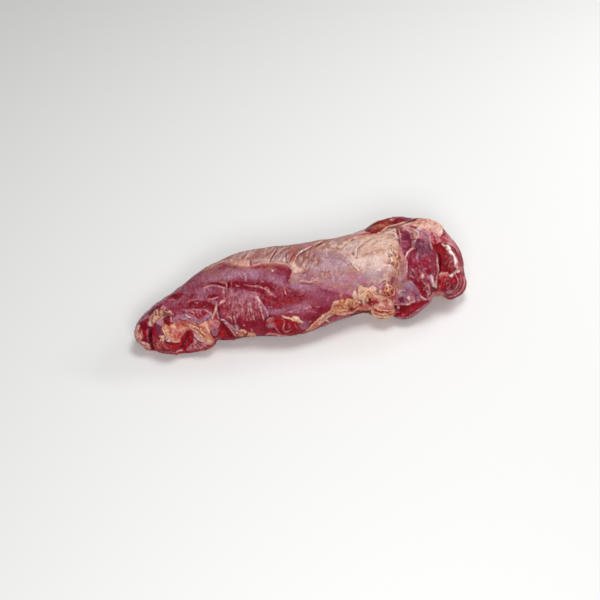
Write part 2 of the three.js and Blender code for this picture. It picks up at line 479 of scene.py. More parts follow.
def linear(h):
    v = np.array([int(h[k : k + 2], 16) / 255 for k in (1, 3, 5)])
    return np.where(v <= 0.04045, v / 12.92, ((v + 0.055) / 1.055) ** 2.4)


# the palette is what the eye sees; the gloss over it adds a pale veil, taken off here
VEIL = (0.0, 0.009, 0.008)
TRIM = {"m": (1.0, 1.0, 1.0), "f": (1.08, 1.12, 1.3), "s": (1.0, 0.93, 0.95), "w": (1.0, 1.0, 1.0)}


def dye(name):
    h, kind = PALETTE[name]
    return np.maximum(linear(h) * TRIM[kind] - VEIL, 0.001)


def paint(q, ink, colour, made_of, height, weight):
    """Lays every mark over colour, made_of (fat, silverskin, membrane, which also carries the painted glints and
    highlights) and height, at pixels q. ink is noise at those points, three kinds of it.
    """
    kinds = {"m": (0, 0, 0), "f": (1, 0, 0), "s": (0, 1, 0), "w": (0, 0, 1)}
    for kind, names, points, o in MARKS:
        p = np.array(points, float)
        if kind == "area":
            reach = o["soft"] + o["rough"] * 1.5 + 1
        elif kind == "line":
            reach = max(o["w"], o["hw"]) + o["soft"] + 2
        else:
            reach = max(o["rx"], o["ry"]) * 1.6 + 1
        lo, hi = p.min(0) - reach, p.max(0) + reach
        k = np.nonzero(np.all((q > lo) & (q < hi), axis=1) & (weight > 0))[0]
        if not len(k):
            continue
        s, n = q[k], ink[k]
        if kind == "area":
            path = smooth_path(points, True)
            d = path_gap(s, path, True)[0]
            d = np.where(inside_of(s, path), d, -d) + o["rough"] * n[:, 0]
            a = ramp(d, -o["soft"] / 2, o["soft"] / 2)
            up = ramp(d, 0, o["rim"])
        elif kind == "line":
            d, t = path_gap(s, smooth_path(points, False), False)
            thin = 1 - o["taper"] * np.clip(1 - np.minimum(t, 1 - t) * 5, 0, 1) * 0.7
            w = math.hypot(o["w"], 0.75) * thin * (1 + 0.35 * n[:, 1])
            a = ramp(w / 2 - d + o["rough"] * n[:, 0], -o["soft"] / 2, o["soft"] / 2)
            up = np.exp(-((d / np.maximum(o["hw"] * 0.6 * thin, 0.2)) ** 2))
            if PALETTE.get(names.partition("/")[0], "  ")[1] == "w":
                a = a * (0.35 + 0.65 * ramp(n[:, 2], -0.6, 0.2))
        else:
            c, z = math.cos(math.radians(o["turn"])), math.sin(math.radians(o["turn"]))
            dx, dy = s[:, 0] - p[0, 0], s[:, 1] - p[0, 1]
            r = np.hypot((c * dx + z * dy) / math.hypot(o["rx"], 0.5), (-z * dx + c * dy) / math.hypot(o["ry"], 0.5))
            r = r * (1 + 0.25 * o["rough"] * n[:, 0])
            a = ramp(-r, -1.45 + 0.4 * o["hard"], -0.25 - 0.6 * o["hard"])
            up = ramp(-r, -1.4, 0)
        a = a * weight[k]
        height[k] += o["h"] * up * weight[k]
        if not names:
            continue
        first, _, second = names.partition("/")
        ka, kb = PALETTE[first][1], PALETTE[second or first][1]
        mix = ramp(n[:, 1], -0.35, 0.35)[:, None]
        tint = dye(first) * (1 - mix) + dye(second or first) * mix
        stuff = np.array(kinds[ka]) * (1 - mix) + np.array(kinds[kb]) * mix
        a = (a * (1 - (1 - min(o["a"], 1)) ** 1.3))[:, None]
        colour[k] += (tint - colour[k]) * a
        made_of[k] += (stuff - made_of[k]) * a

# -- the long muscle, left of the silverskin
spot("muscle", 200, 282, 26, 9, -32, a=0.6)
spot("brick/muscle", 183, 286, 9, 7, -40, a=0.5)
spot("mauve", 198, 280, 12, 4, -32, a=0.35)
# the lilac dabs below paint the muscle's sheen, over its own mauve
spot("lilac/mauve", 211, 278, 9, 4, -10, a=0.55)
spot("lilac/mauve", 232, 274, 13, 5, 0, a=0.75)
spot("lilac", 228, 277, 7, 3.5, 0, a=0.45)
spot("lilac/mauve", 250, 274, 13, 5.5, 0, a=0.8)
spot("lilac", 254, 276, 5, 4, 0, a=0.4)
spot("mauve", 268, 276, 12, 5, 12, a=0.6)
spot("lilac/mauve", 277, 281, 12, 4, 22, a=0.55)
spot("muscle/brick", 222, 268, 7, 3.5, -20, a=0.8)
spot("wine/muscle", 232, 267, 12, 1.8, 14, a=0.7)
spot("wine/brick", 262, 267, 14, 2.4, -3, a=0.85)
spot("wine/brick", 281, 268, 10, 3.6, 12, a=0.9)
spot("wine", 289, 274, 2.5, 5, 10, a=0.8)
spot("muscle/mauve", 281, 275, 7, 3.5, 15, a=0.7)
spot("mauve", 205, 291, 12, 3.5, -4, a=0.8)
spot("muscle", 225, 291, 10, 3, 10, a=0.5)
line("dusk", [(166, 297.6), (171, 293.6), (175, 291.4), (180, 287.8), (185, 282.4), (191, 277.4), (197, 272.4), (203, 268.8)], 1.3, a=0.7, taper=0.4)
# dark bands where the skin is cut away
area("wine/blood", [(206, 283.2), (212, 282), (219, 282.6), (224, 283.6), (230, 282.2), (237, 281.2), (244, 281.6), (252, 281.4), (259, 281.8), (265, 283.2), (270, 286.2), (273.6, 290), (271, 290.6), (267, 288.6), (260, 286.2), (252, 285.6), (246, 284.8), (240, 288.6), (233, 288.4), (227, 287.8), (221, 286.2), (214, 285)], soft=1.4, rough=0.6, h=-0.9, rim=2)
area("blood/wine", [(236, 284.8), (243, 284.6), (249, 286.2), (255, 287.4), (261, 289.2), (266, 292), (265, 294.6), (259, 293.2), (253, 291.6), (246, 290.2), (239, 289)], soft=1.2, rough=0.6, h=-0.7, rim=2)
spot("wine/cherry", 241, 286.4, 3.5, 1.6, 0, a=0.6)
area("blood/wine", [(258, 292), (263, 294.5), (270, 295.6), (276, 297.6), (281, 297.2), (285, 293), (290, 291), (297, 291.4), (303, 293.4), (304, 297), (300, 300.6), (294, 303.4), (288, 305.6), (280, 305.4), (272, 304.4), (266, 302), (262, 297.6)], soft=2.4, rough=1.0, h=-0.5, rim=3)
spot("cherry/wine", 272, 299, 6, 3, 10, a=0.4)
line("blush", [(243, 284.4), (250, 286), (257, 286.2), (263, 288.2), (268, 290.2), (272, 294.4), (275, 297)], 0.9, a=0.75, h=0.3)
line("blush", [(202, 288.8), (205, 287.4), (209, 286.3), (213, 285.7), (217, 285.9), (221, 287), (225, 288.2), (229, 288.9)], 1.0, a=0.85, h=0.35)
line("blush", [(220.3, 282.1), (223, 282.7), (226, 283.5)], 1.0, a=0.8)
line("blush", [(235.5, 285), (237.5, 286), (240, 285.4)], 0.8, a=0.7)
line("blush", [(264.6, 288), (266.4, 287.6), (268.5, 288.6), (270, 290.2)], 0.9, a=0.6)
streaks("blush/pink", [(262, 289), (270, 291), (278, 298), (268, 296)], 12, -1.4, 2.6, 0.6, 31, a=0.4)
line("black", [(227.8, 282), (228, 288), (227.9, 295)], 0.8, a=0.85, h=-0.5)
line("blush", [(226.5, 282), (226.6, 287.8)], 0.9, a=0.6)
line("pink", [(231.4, 281.4), (231.2, 286), (230.8, 290)], 0.8, a=0.5)
line("blush", [(246.6, 275), (245.6, 278), (245.5, 281)], 1.1, a=0.85, h=0.3)
line("blush", [(284.2, 285.8), (284.4, 289.4), (285.4, 292.6), (286.6, 295.2)], 0.9, a=0.8, h=0.3)
spot("dark", 260.3, 280.6, 1.1, 1.0, hard=1, a=0.95, h=-0.8)
spot("blush", 262.5, 281.4, 1.3, 0.6, 20, a=0.5)
spot("white", 272.6, 270.6, 0.9, 0.9, hard=1, a=1.0, h=0.3)
spot("blood", 269.4, 271.2, 1.1, 0.9, hard=0.4, a=0.7)
streaks("lilac", [(225, 268), (262, 268), (285, 276), (286, 283), (262, 281), (222, 280)], 70, 0.1, 5, 0.7, 1, a=0.35)
streaks("muscle", [(205, 272), (225, 268), (262, 268), (285, 273), (286, 283), (262, 281), (205, 281)], 80, 0.1, 4.5, 0.7, 2, a=0.35)
streaks("wine", [(255, 284), (300, 284), (345, 292), (340, 300), (300, 314), (265, 312)], 70, 0.0, 5, 0.8, 3, a=0.22)
streaks("mauve", [(262, 286), (300, 284), (330, 290), (335, 300), (300, 314), (265, 312)], 70, 0.1, 4, 0.7, 4, a=0.35)

# -- the magenta muscle under the silverskin, right of the middle
spot("muscle/brick", 300, 308, 30, 9, -12, a=0.7)
spot("mauve/muscle", 303, 288, 13, 5, 0, a=0.6)
spot("muscle", 322, 297, 17, 8, 0, a=0.75)
spot("mauve", 317, 293, 9, 4, 10, a=0.4)
spot("brick/cherry", 335, 291, 10, 2.2, 22, a=0.65)
spot("cherry/wine", 322, 287, 8, 1.8, 14, a=0.5)
spot("pink/mauve", 340, 286, 14, 4.2, 16, a=0.85)
spot("pink", 349, 289, 6, 6, 0, a=0.7)
spot("brick/pink", 346, 295, 5, 3.4, 20, a=0.7)
line("pink", [(341, 292.4), (341.2, 296), (342.6, 299.6)], 2.0, a=0.9, h=0.4)
line("pink", [(328.8, 296.8), (328, 299), (327.4, 301)], 1.3, a=0.8, h=0.3)
line("mauve", [(266, 311.6), (275, 311), (283, 310.2), (291, 308)], 2.4, a=0.7)
area("muscle/mauve", [(284, 306.4), (292, 305.4), (299, 303.6), (304, 301), (309, 300), (309, 311), (303, 313.6), (296, 312.4), (290, 311), (284, 309.4)], soft=3.0, rough=1.0, a=0.55)
area("brick/blood", [(268, 296.6), (276, 298.6), (284, 297), (290, 295), (294, 297.6), (289, 303), (281, 304.8), (272, 303)], soft=2.4, rough=0.8, a=0.5)
streaks("lilac", [(268, 306.6), (288, 308), (305, 304), (308, 310), (292, 313.6), (268, 313.6)], 30, 5.0, 5.0, 0.7, 89, a=0.4, h=0.15)
streaks("plum", [(268, 306.6), (288, 308), (305, 304), (308, 310), (292, 313.6), (268, 313.6)], 18, 5.0, 5.0, 0.7, 90, a=0.35, h=-0.15)
streaks("mauve", [(286, 286), (306, 284), (308, 298), (296, 292), (288, 291)], 20, 3.0, 4.0, 0.7, 91, a=0.4)
spot("blood/brick", 289, 300.6, 8.5, 3.2, -8, a=0.6)
spot("slate/mauve", 275, 313, 9, 1.8, 0, a=0.6)
spot("wine", 323, 311, 7, 3.2, -18, a=0.85)
spot("blood", 321, 309, 4, 1.2, -10, a=0.6)
spot("wine/blood", 315, 316, 6, 4, -30, a=0.4)
line("blush", [(309, 305.2), (310.4, 307), (312, 308.4)], 1.0, a=0.9, h=0.3)
spot("pink", 307.5, 307.4, 1.8, 1.0, a=0.6)
line("blood", [(311, 307.6), (314, 308.2), (316.4, 308)], 1.2, a=0.8)
line("pink", [(308, 310.6), (311, 311), (314, 312), (316.4, 312.6)], 0.9, a=0.8, h=0.3)
line("pink", [(316, 305.6), (317.6, 307), (320, 306.2)], 0.8, a=0.7)
line("pink", [(309.5, 300.6), (311.4, 302.4), (313, 304)], 0.7, a=0.5)
spot("pink", 310, 321.6, 1.6, 1.0, -30, a=0.6)
line("slate", [(303, 321), (306, 323.4), (309, 326)], 3.0, a=0.5)

# -- left of the belly: fan of fine streaks
spot("mauve", 249, 298, 9, 6, 10, a=0.75)
spot("mauve/muscle", 238, 296, 8, 7, 0, a=0.6)
spot("brick/wine", 250, 320, 13, 8, 0, a=0.8)
spot("blood/wine", 252, 325, 11, 5.4, 0, a=0.9)
spot("brick", 232, 310, 8, 9, 0, a=0.6)
spot("wine", 228, 305, 5, 4, 0, a=0.4)
streaks("blush", [(222, 290), (256, 292), (262, 300), (263, 317), (246, 321), (236, 319), (224, 314)], 110, -0.08, 3.6, 0.7, 5, a=0.5, h=0.15)
streaks("pink", [(222, 290), (256, 292), (262, 300), (262, 318), (246, 318), (236, 316), (224, 312)], 110, -0.05, 4.6, 0.8, 6, a=0.5)
streaks("wine/blood", [(222, 296), (256, 300), (262, 318), (246, 332), (236, 330), (224, 314)], 90, -0.12, 4, 0.8, 7, a=0.55, h=-0.2)
streaks("slate", [(228, 296), (240, 296), (240, 322), (230, 318)], 14, 0, 4, 0.7, 8, a=0.45)
line("haze/pearl", [(250, 302.6), (250.4, 305.6), (251, 309), (251.8, 313)], 1.8, a=0.8, h=0.4)
line("blush", [(248.4, 301), (248.4, 306), (248.6, 313)], 1.1, a=0.7, h=0.3)
# the white, blush, pale and lilac strands from here on are painted glints on the fibres
line("white", [(257, 296.6), (258.6, 299.6), (260.4, 302.6)], 0.8, a=0.75, h=0.3)
line("blush", [(258.6, 303), (259.2, 307), (260, 311)], 0.8, a=0.7, h=0.3)
line("blush", [(262.6, 306), (263.6, 310), (264.8, 313.6)], 0.8, a=0.6, h=0.3)
line("pale", [(265.6, 309.6), (267, 313), (267.8, 316)], 0.8, a=0.6, h=0.3)
line("maroon", [(261.4, 304), (262.6, 308), (264, 312)], 0.8, a=0.6, h=-0.3)
line("maroon", [(258, 306), (259.4, 311), (261, 316)], 0.8, a=0.6, h=-0.3)
line("blush", [(259.4, 302), (260.6, 306), (261.6, 310), (262.4, 313)], 1.0, a=0.7, h=0.4)
line("blush", [(260, 309), (261.6, 313), (263, 316.6), (264.4, 321)], 1.0, a=0.8, h=0.4)
line("lilac", [(262.6, 304.6), (265, 308.4), (266.8, 312.4), (267.8, 316.6)], 1.7, a=0.9, h=0.5)
line("black", [(260.6, 299.4), (262.4, 301.4), (264, 302.8)], 1.2, a=0.7, h=-0.6)
line("slate", [(256.4, 302), (257, 306), (257.4, 309)], 1.3, a=0.7, h=-0.3)
line("slate", [(264, 312), (265, 315), (265.6, 318)], 1.6, a=0.6, h=-0.3)
line("blush", [(249.6, 315.6), (250, 318), (251.4, 320.6)], 0.9, a=0.8)
line("blush", [(253, 314.6), (253.8, 318), (255, 321)], 0.8, a=0.7)
line("blush", [(251.4, 328.4), (251.9, 330.6)], 1.2, a=0.9)
streaks("cherry", [(240, 320), (264, 320), (262, 334), (240, 332)], 26, -0.1, 3, 1.0, 9, a=0.5)

# -- silverskin
area("rose/fawn", [(190, 268), (197, 271.8), (203, 270.4), (208, 268.6), (213.5, 266.6), (218, 264.2), (222.5, 262.4), (226, 261.8), (230, 262.8), (235, 264.9), (240, 265.9), (247, 265.9), (252, 266.4), (256, 265.6), (260, 264.4), (266, 264.1), (273, 264.4), (280, 264.6), (285.6, 265.4), (289.4, 267.2), (292, 269.8), (292.7, 273), (291, 276.4), (288.6, 281), (293, 284), (299, 283.6), (306, 284), (312, 283.4), (318, 284.4), (327, 286.6), (336, 289), (344, 292), (351, 294), (356, 290.4), (359.6, 286.4), (366, 288.4), (373, 286.6), (378, 290.4), (385, 290.6), (389, 287), (392, 281), (395, 275.6), (399.6, 270), (404.4, 263), (403.4, 257.4), (401.6, 251.6), (400.2, 245.6), (399.6, 240), (397.6, 236), (395, 232.6), (391.6, 229.6), (385, 230.6), (377, 233.4), (369, 234.6), (361, 236.6), (354.6, 238.8), (351, 234), (342, 230), (300, 236), (250, 242), (215, 254)], soft=1.2, rough=0.35, h=0.5, rim=2)
# lower edge fades into the muscle
spot("mauve/lilac", 308, 287, 16, 3.4, 2, a=0.75)
spot("mauve/pink", 331, 288, 14, 3, 14, a=0.8)
spot("pink/mauve", 347, 291, 9, 4.4, 14, a=0.85)
spot("haze/mauve", 340, 280, 14, 4.6, 8, a=0.75)
spot("dusk/haze", 324, 262, 26, 12, 2, a=0.5)
spot("haze/mist", 318, 268, 13, 4.4, 4, a=0.7)
spot("mist/haze", 330, 263, 15, 5, 6, a=0.8)
spot("haze/mauve", 306, 277, 12, 4, 0, a=0.8)
spot("pearl", 295, 277, 4, 2.6, 0, a=0.4)
spot("lilac", 295, 284, 5, 3.4, 0, a=0.6)
spot("lilac", 326, 281.6, 7, 2.2, 6, a=0.5)
spot("lilac/haze", 357, 283, 5, 5, 0, a=0.6)
spot("lilac/haze", 362, 276.6, 5, 3.4, 0, a=0.9)
spot("haze", 345, 277, 6, 3, 0, a=0.5)
spot("pink/mauve", 366.5, 282.6, 6.4, 3.4, 4, a=0.9)
spot("pink/mauve", 352, 275, 4, 3, -20, a=0.7)
spot("pink", 381, 285.6, 5, 4, -30, a=0.85)
spot("pink", 349, 281, 3.4, 3, 0, a=0.5)
# the right half pales to bone and pearl; its palest spots, round the bump, are partly a painted soft sheen
spot("bone/ivory", 366, 243, 24, 9, -10, a=0.95)
spot("bone/ivory", 386, 243, 14, 10, -8, a=0.95)
spot("bone/mist", 345, 246, 13, 9, -12, a=0.9)
spot("bone/fawn", 330, 247, 13, 7, -12, a=0.85)
spot("mist/dusk", 325, 256, 12, 6, -8, a=0.8)
spot("mist/haze", 341, 262, 13, 8, 0, a=0.8)
spot("bone", 356, 258, 8, 7, 8, a=0.8)
spot("bone/pale", 364, 263, 14, 9, 8, a=0.9)
spot("pale/bone", 376, 266, 12, 10, 0, a=0.9)
spot("pale/bone", 377, 258, 11, 5, 0, a=0.8)
spot("mist/pale", 379, 270, 5, 4, 0, a=0.75)
spot("rose/pearl", 368, 266, 3, 4, 20, a=0.35)
spot("pale/rose", 384, 276, 7, 6, 0, a=0.5)
spot("mist/haze", 374, 275, 10, 6, 0, a=0.7)
spot("pearl/pink", 374, 281, 7, 3, 0, a=0.5)
spot("sand", 340, 249.6, 5, 1.8, -10, a=0.6)
spot("ochre/sand", 336, 249.4, 3.6, 1.3, -10, a=0.45)
spot("umber", 338.4, 248.6, 0.9, 0.6, a=0.5)
spot("pale", 334.4, 245.8, 2.0, 1.8, 0, a=0.6)
spot("salmon/rose", 362, 234.4, 12, 1.6, -12, a=0.85)
spot("salmon/rose", 346, 239.4, 6, 1.4, -22, a=0.6)
# the left half: rose with slanting striae
spot("dusk/fawn", 234, 258.5, 9, 3, -22, a=0.8)
spot("rose/fawn", 246, 254.5, 9, 3, -14, a=0.7)
spot("mist/dusk", 281, 257, 8, 3.6, -8, a=0.85)
spot("clay/fawn", 266, 253.4, 7, 3.2, -6, a=0.8)
spot("sand/clay", 265, 252.6, 3.4, 1.6, -6, a=0.5)
spot("rose/clay", 257, 255.6, 6, 4, 0, a=0.7)
spot("umber/dusk", 283, 249.4, 7, 1.8, -12, a=0.7)
spot("clay/umber", 294, 252.6, 5, 4, -20, a=0.7)
spot("salmon", 292, 250, 4, 2.2, -10, a=0.6)
spot("clay/rose", 304, 257, 9, 6, 0, a=0.85)
spot("sand/rose", 303, 264, 4, 4, 0, a=0.65)
spot("clay/umber", 317, 261.6, 4, 5, 10, a=0.9)
spot("brick/clay", 317.4, 261, 2.2, 2.6, 0, a=0.5)
spot("clay/rose", 325.6, 273, 6, 2.0, 4, a=0.7)
spot("rose/pink", 305, 245.6, 8, 1.6, -16, a=0.7)
spot("mist/bone", 270, 260, 18, 1.8, -2, a=0.65)
spot("bone", 285, 259.6, 2.2, 3, 0, a=0.7)
streaks("umber", [(228, 258), (252, 249), (292, 244), (292, 262), (262, 262), (232, 262)], 60, 0.62, 7, 0.7, 11, a=0.36, h=-0.2)
streaks("pale", [(228, 258), (252, 249), (292, 244), (292, 262), (262, 262), (232, 262)], 60, 0.62, 7, 0.8, 12, a=0.34, h=0.15)
streaks("umber", [(298, 252), (312, 250), (318, 262), (308, 270), (300, 268)], 34, 0.12, 5, 0.8, 13, a=0.5, h=-0.25)
streaks("bone", [(298, 252), (312, 250), (318, 262), (308, 270), (300, 268)], 30, 0.12, 5, 0.8, 74, a=0.45, h=0.2)
streaks("fawn", [(320, 250), (345, 246), (352, 268), (324, 272)], 36, 0.3, 4, 0.8, 14, a=0.4, h=-0.12)
streaks("pearl", [(306, 270), (345, 262), (352, 284), (310, 284)], 50, 0.25, 4, 0.8, 15, a=0.3, h=0.1)
streaks("mauve", [(300, 272), (345, 268), (352, 286), (300, 284)], 60, 0.25, 4, 0.8, 16, a=0.35, h=-0.1)
line("maroon", [(269.6, 262), (271.4, 258), (274, 254), (276.4, 250.6), (277.6, 248)], 1.1, a=0.8, h=-0.7, hw=2)
line("pale", [(268.4, 261), (270.4, 257), (273, 253), (275.4, 249.4), (276.2, 247.6)], 1.1, a=0.5, h=0.4)
line("umber", [(278.6, 254.6), (281.4, 251.4), (285.4, 248.8), (290, 247.6)], 1.0, a=0.6, h=-0.4)
line("pale", [(278, 252.8), (281.4, 249.6), (286, 247.2)], 1.0, a=0.5, h=0.4)
line("maroon", [(250, 258.6), (250.4, 262.4), (251, 266.4)], 0.9, a=0.8, h=-0.5)
line("pale", [(248.8, 259), (248.8, 262), (249.2, 265)], 0.9, a=0.5, h=0.3)
line("umber", [(245.8, 261), (248.6, 257), (251.6, 253.6), (253.6, 250.2)], 0.9, a=0.7, h=-0.4)
line("pale", [(244.8, 259), (247.6, 255.4), (250.6, 252), (252.6, 249.4)], 0.9, a=0.6, h=0.4)
line("pale", [(248, 257.4), (251, 254), (254.2, 250.6)], 0.9, a=0.5, h=0.3)
line("pale", [(239, 259), (241.8, 255.6), (244.6, 252.4), (246, 250.6)], 1.0, a=0.6, h=0.3)
line("umber", [(241, 260), (243.8, 256.4), (246.6, 253)], 0.9, a=0.5, h=-0.3)
line("maroon", [(286.8, 252.6), (286, 256.4), (286.4, 260.4), (288, 263.2)], 1.2, a=0.7, h=-0.6)
line("ember", [(289.4, 261.6), (291.6, 258), (294.2, 254)], 1.0, a=0.85, h=-0.5)
line("ember", [(292, 263.2), (294.2, 259.2), (296.4, 255.8)], 1.0, a=0.85, h=-0.5)
line("umber", [(295, 262), (296.6, 259.6), (297.4, 257.4)], 0.9, a=0.7, h=-0.4)
line("salmon", [(290.6, 261.6), (292.8, 257.8), (295, 254.4)], 0.9, a=0.85, h=0.4)
line("bone", [(293.2, 262.6), (295.2, 259), (296.4, 257)], 0.9, a=0.75, h=0.4)
line("salmon", [(287.4, 256), (289.6, 252.6), (292.4, 250)], 0.9, a=0.6, h=0.3)
# the seam, edged with cream fat
area("sand/shell", [(225, 260.4), (230, 259.8), (236, 260), (241, 259.4), (246.6, 260.4), (248.8, 262.6), (249.2, 265.6), (245, 265.8), (240, 265.8), (235, 264.6), (230, 262.8), (226, 261.8), (221, 262.4), (219, 262)], soft=2.6, rough=1.0, a=0.85, h=0.4)
streaks("cream", [(226, 260), (248, 260), (248, 265), (236, 264)], 16, 0.5, 2.4, 0.9, 75, a=0.5, h=0.2)
streaks("rose", [(226, 259), (248, 258), (248, 264), (236, 263)], 16, 0.5, 2.6, 0.8, 76, a=0.5, h=-0.1)
line("gold/shell", [(207, 268.8), (213, 265.8), (219, 262.8), (226, 261.2), (231, 262.4), (236, 264.2), (241, 265), (247, 265.2), (249.6, 265.6)], 1.1, a=0.7, h=0.4, taper=0.5)
line("blush", [(251, 266), (255, 265.2), (259, 263.8)], 0.9, a=0.7, h=0.3)
line("shell", [(258, 263.8), (262, 262.6), (267, 262.3), (273, 262.6), (280, 263), (285.6, 264), (289.6, 266.2), (292, 269.2), (292.8, 272.4)], 0.9, a=0.85, h=0.4, taper=0.3)
line("blush", [(292.6, 272.6), (291.6, 275), (290.4, 276.8)], 0.9, a=0.6, h=0.2)
area("bone/shell", [(289.2, 264.6), (291, 263), (293.4, 260.6), (295, 263.6), (297, 266), (300, 268), (303.4, 269), (302.6, 271), (299.4, 272.4), (295.4, 272.6), (293, 272.2), (292, 269.2)], soft=2.2, rough=0.6, a=0.95, h=0.5)
line("gold", [(291.6, 265), (294.6, 267.6), (297.4, 270)], 1.4, a=0.5, h=0.2)
spot("white", 295.4, 265.6, 1.2, 2.0, 0, a=0.4)
line("umber", [(299.8, 272.6), (303, 273), (306.6, 271.4), (309, 268.6), (310, 266)], 1.0, a=0.8, h=-0.4)
line("blush/shell", [(299.4, 281), (302.4, 280.6), (305.4, 281.3), (308.2, 281.8), (311.4, 281.4), (314, 280.4)], 1.5, a=0.95, h=0.5)
line("blush", [(313.6, 280.6), (316.4, 279.2), (318.4, 277.2)], 1.0, a=0.75, h=0.3)
line("umber", [(318.4, 277), (319.4, 275), (319, 273)], 0.9, a=0.6, h=-0.3)
line("maroon", [(299.6, 283.2), (304, 283.4), (309, 284), (313, 283)], 1.0, a=0.6, h=-0.4)
# the raised crease and what runs on from it: painted shade (black) under it and a painted highlight (white) along its
# top
line("black", [(296.4, 257.8), (299, 255.2), (302, 252.8), (305, 251), (309, 249.4), (312.4, 246.8)], 1.1, a=0.7, h=-1.1, hw=2.0)
line("white", [(296.2, 256.1), (299, 253.4), (302, 250.9), (305, 249.4), (307.6, 247.9), (311, 245.8)], 0.9, a=1.0, h=0.9, hw=1.6)
line("umber", [(296.2, 252), (299, 249.8), (303, 247.8)], 0.9, a=0.5, h=-0.3)
line("maroon", [(314, 247.2), (317.4, 245.4), (321, 243.4), (325, 241.4), (331.4, 239.4)], 1.2, a=0.8, h=-1.0, hw=2.2)
line("bone", [(313, 244.8), (318, 242.6), (322, 240.8)], 1.2, a=0.6, h=0.5)
line("bone", [(316, 249), (320, 246.6), (325, 244)], 1.2, a=0.4, h=0.3)
line("umber", [(312, 263), (313.4, 258.6), (315.4, 254.4)], 1.0, a=0.7, h=-0.4)
line("umber", [(312.6, 261.6), (315.4, 260.2), (318.8, 258)], 0.9, a=0.6, h=-0.4)
line("umber", [(338, 256), (342, 259.6), (346, 262.6), (350, 266)], 0.9, a=0.5, h=-0.3)
line("pale", [(341, 251.4), (345, 255.4), (349, 259), (352.6, 262)], 1.2, a=0.5, h=0.3)
line("umber", [(332, 256.6), (337, 258.6), (342, 259)], 0.8, a=0.4, h=-0.2)
line("rose", [(332, 266), (337, 264.8), (343, 263.6)], 0.9, a=0.5, h=-0.2)
specks("maroon", [(320, 270), (332, 271), (332, 276), (318, 276)], 14, 0.9, 77, a=0.5, h=-0.2)
# right half: folds, a dimple, a bump; the pale lines on the ridges are painted highlights, and the umber beside them
# and in the dimple is painted shade
line("pale/mist", [(359.6, 240.4), (358.2, 244), (356.6, 248), (355.8, 252), (355.9, 256.4)], 3.0, a=0.8, h=1.1, hw=3.6)
line("umber", [(364.6, 244), (361.4, 246), (358.6, 248.6), (357.4, 252), (357.2, 256)], 1.2, a=0.75, h=-1.0, hw=2.2)
line("bone", [(364, 241.6), (361.4, 243.6), (359.6, 246.4)], 1.0, a=0.4, h=0.4)
spot("umber", 353, 253.8, 1.2, 1.8, -30, a=0.9, h=-1.4)
spot("umber", 356.4, 257.8, 1.6, 1.0, 0, a=0.65, h=-0.7)
line("brown", [(350.4, 241.4), (352, 240), (354.4, 239)], 1.1, a=0.75, h=-0.6)
line("shell", [(352, 238), (357, 236.4), (363, 235.4), (368, 234.6)], 1.0, a=0.6, h=0.4)
line("blush", [(354, 235.4), (361, 233.2), (369, 231.8), (377, 231.2)], 1.3, a=0.7, h=0.4)
line("ember", [(360, 235), (366, 233.8), (371, 233)], 0.9, a=0.5, h=-0.3)
line("pale", [(350.6, 255.2), (352.6, 257), (354.4, 259.4)], 1.4, a=0.7, h=0.4)
line("umber", [(348.4, 260.6), (351, 264.4), (354.4, 268.8), (358, 272)], 0.9, a=0.5, h=-0.4)
line("pale", [(351.6, 262.6), (354.6, 266), (357.6, 269), (360, 271.6)], 1.4, a=0.85, h=0.6)
line("umber", [(355, 263.4), (358, 266.6), (360.4, 269.4)], 0.8, a=0.4, h=-0.3)
line("sand", [(357.6, 258), (362, 256.6), (367, 254.6), (373, 252.8), (380, 251)], 1.2, a=0.7, h=0.3)
line("umber", [(366, 254), (372, 251.6), (378, 249.8), (382, 248.8)], 0.9, a=0.55, h=-0.4)
line("cream", [(372, 250.6), (376, 249), (380.4, 247.6)], 1.1, a=0.7, h=0.4)
line("salmon", [(366, 248.6), (371, 247), (376, 246.4)], 1.0, a=0.5, h=0.2)
line("umber", [(369, 244.4), (373, 244), (377, 241.6), (382, 240)], 0.9, a=0.5, h=-0.4)
line("cream", [(374, 245), (379, 243.6), (383.4, 242.6)], 1.1, a=0.55, h=0.3)
line("umber", [(366, 243), (370, 239.6), (375, 238)], 0.9, a=0.4, h=-0.3)
line("umber", [(388.6, 246.4), (391.8, 244.6)], 0.8, a=0.7)
line("umber", [(384, 240), (389, 238), (394, 238)], 0.8, a=0.35, h=-0.2)
line("cream", [(387, 242), (391, 243.4), (395, 246.6)], 1.1, a=0.5, h=0.3)
line("umber", [(342, 248), (345, 246), (348.6, 243)], 0.9, a=0.5, h=-0.3)
line("cream", [(343, 243.6), (347, 241.6), (350.6, 240.6)], 1.2, a=0.45, h=0.3)
streaks("cream", [(366, 238), (394, 233), (400, 252), (384, 254), (366, 254)], 26, 3.6, 3.4, 0.8, 17, a=0.3, h=0.12)
streaks("tan", [(362, 238), (394, 233), (400, 252), (384, 256), (364, 256)], 40, 3.2, 3.6, 0.8, 18, a=0.3, h=-0.2)
streaks("salmon", [(354, 236), (378, 232), (384, 236), (356, 240)], 14, 4, 4, 0.8, 78, a=0.3, h=-0.1)
spot("", 378, 267, 12, 9, 0, h=2.2)
spot("", 366, 281, 9, 5, 0, h=-0.8)
spot("", 345, 262, 12, 9, 0, h=0.7)
streaks("pale", [(374, 282), (384, 272), (389, 274), (384, 288), (376, 288)], 14, 1.1, 7, 0.8, 19, a=0.5, h=0.3)
streaks("mauve", [(374, 284), (384, 274), (388, 276), (384, 290), (376, 290)], 10, 1.1, 5, 0.7, 20, a=0.4, h=-0.2)
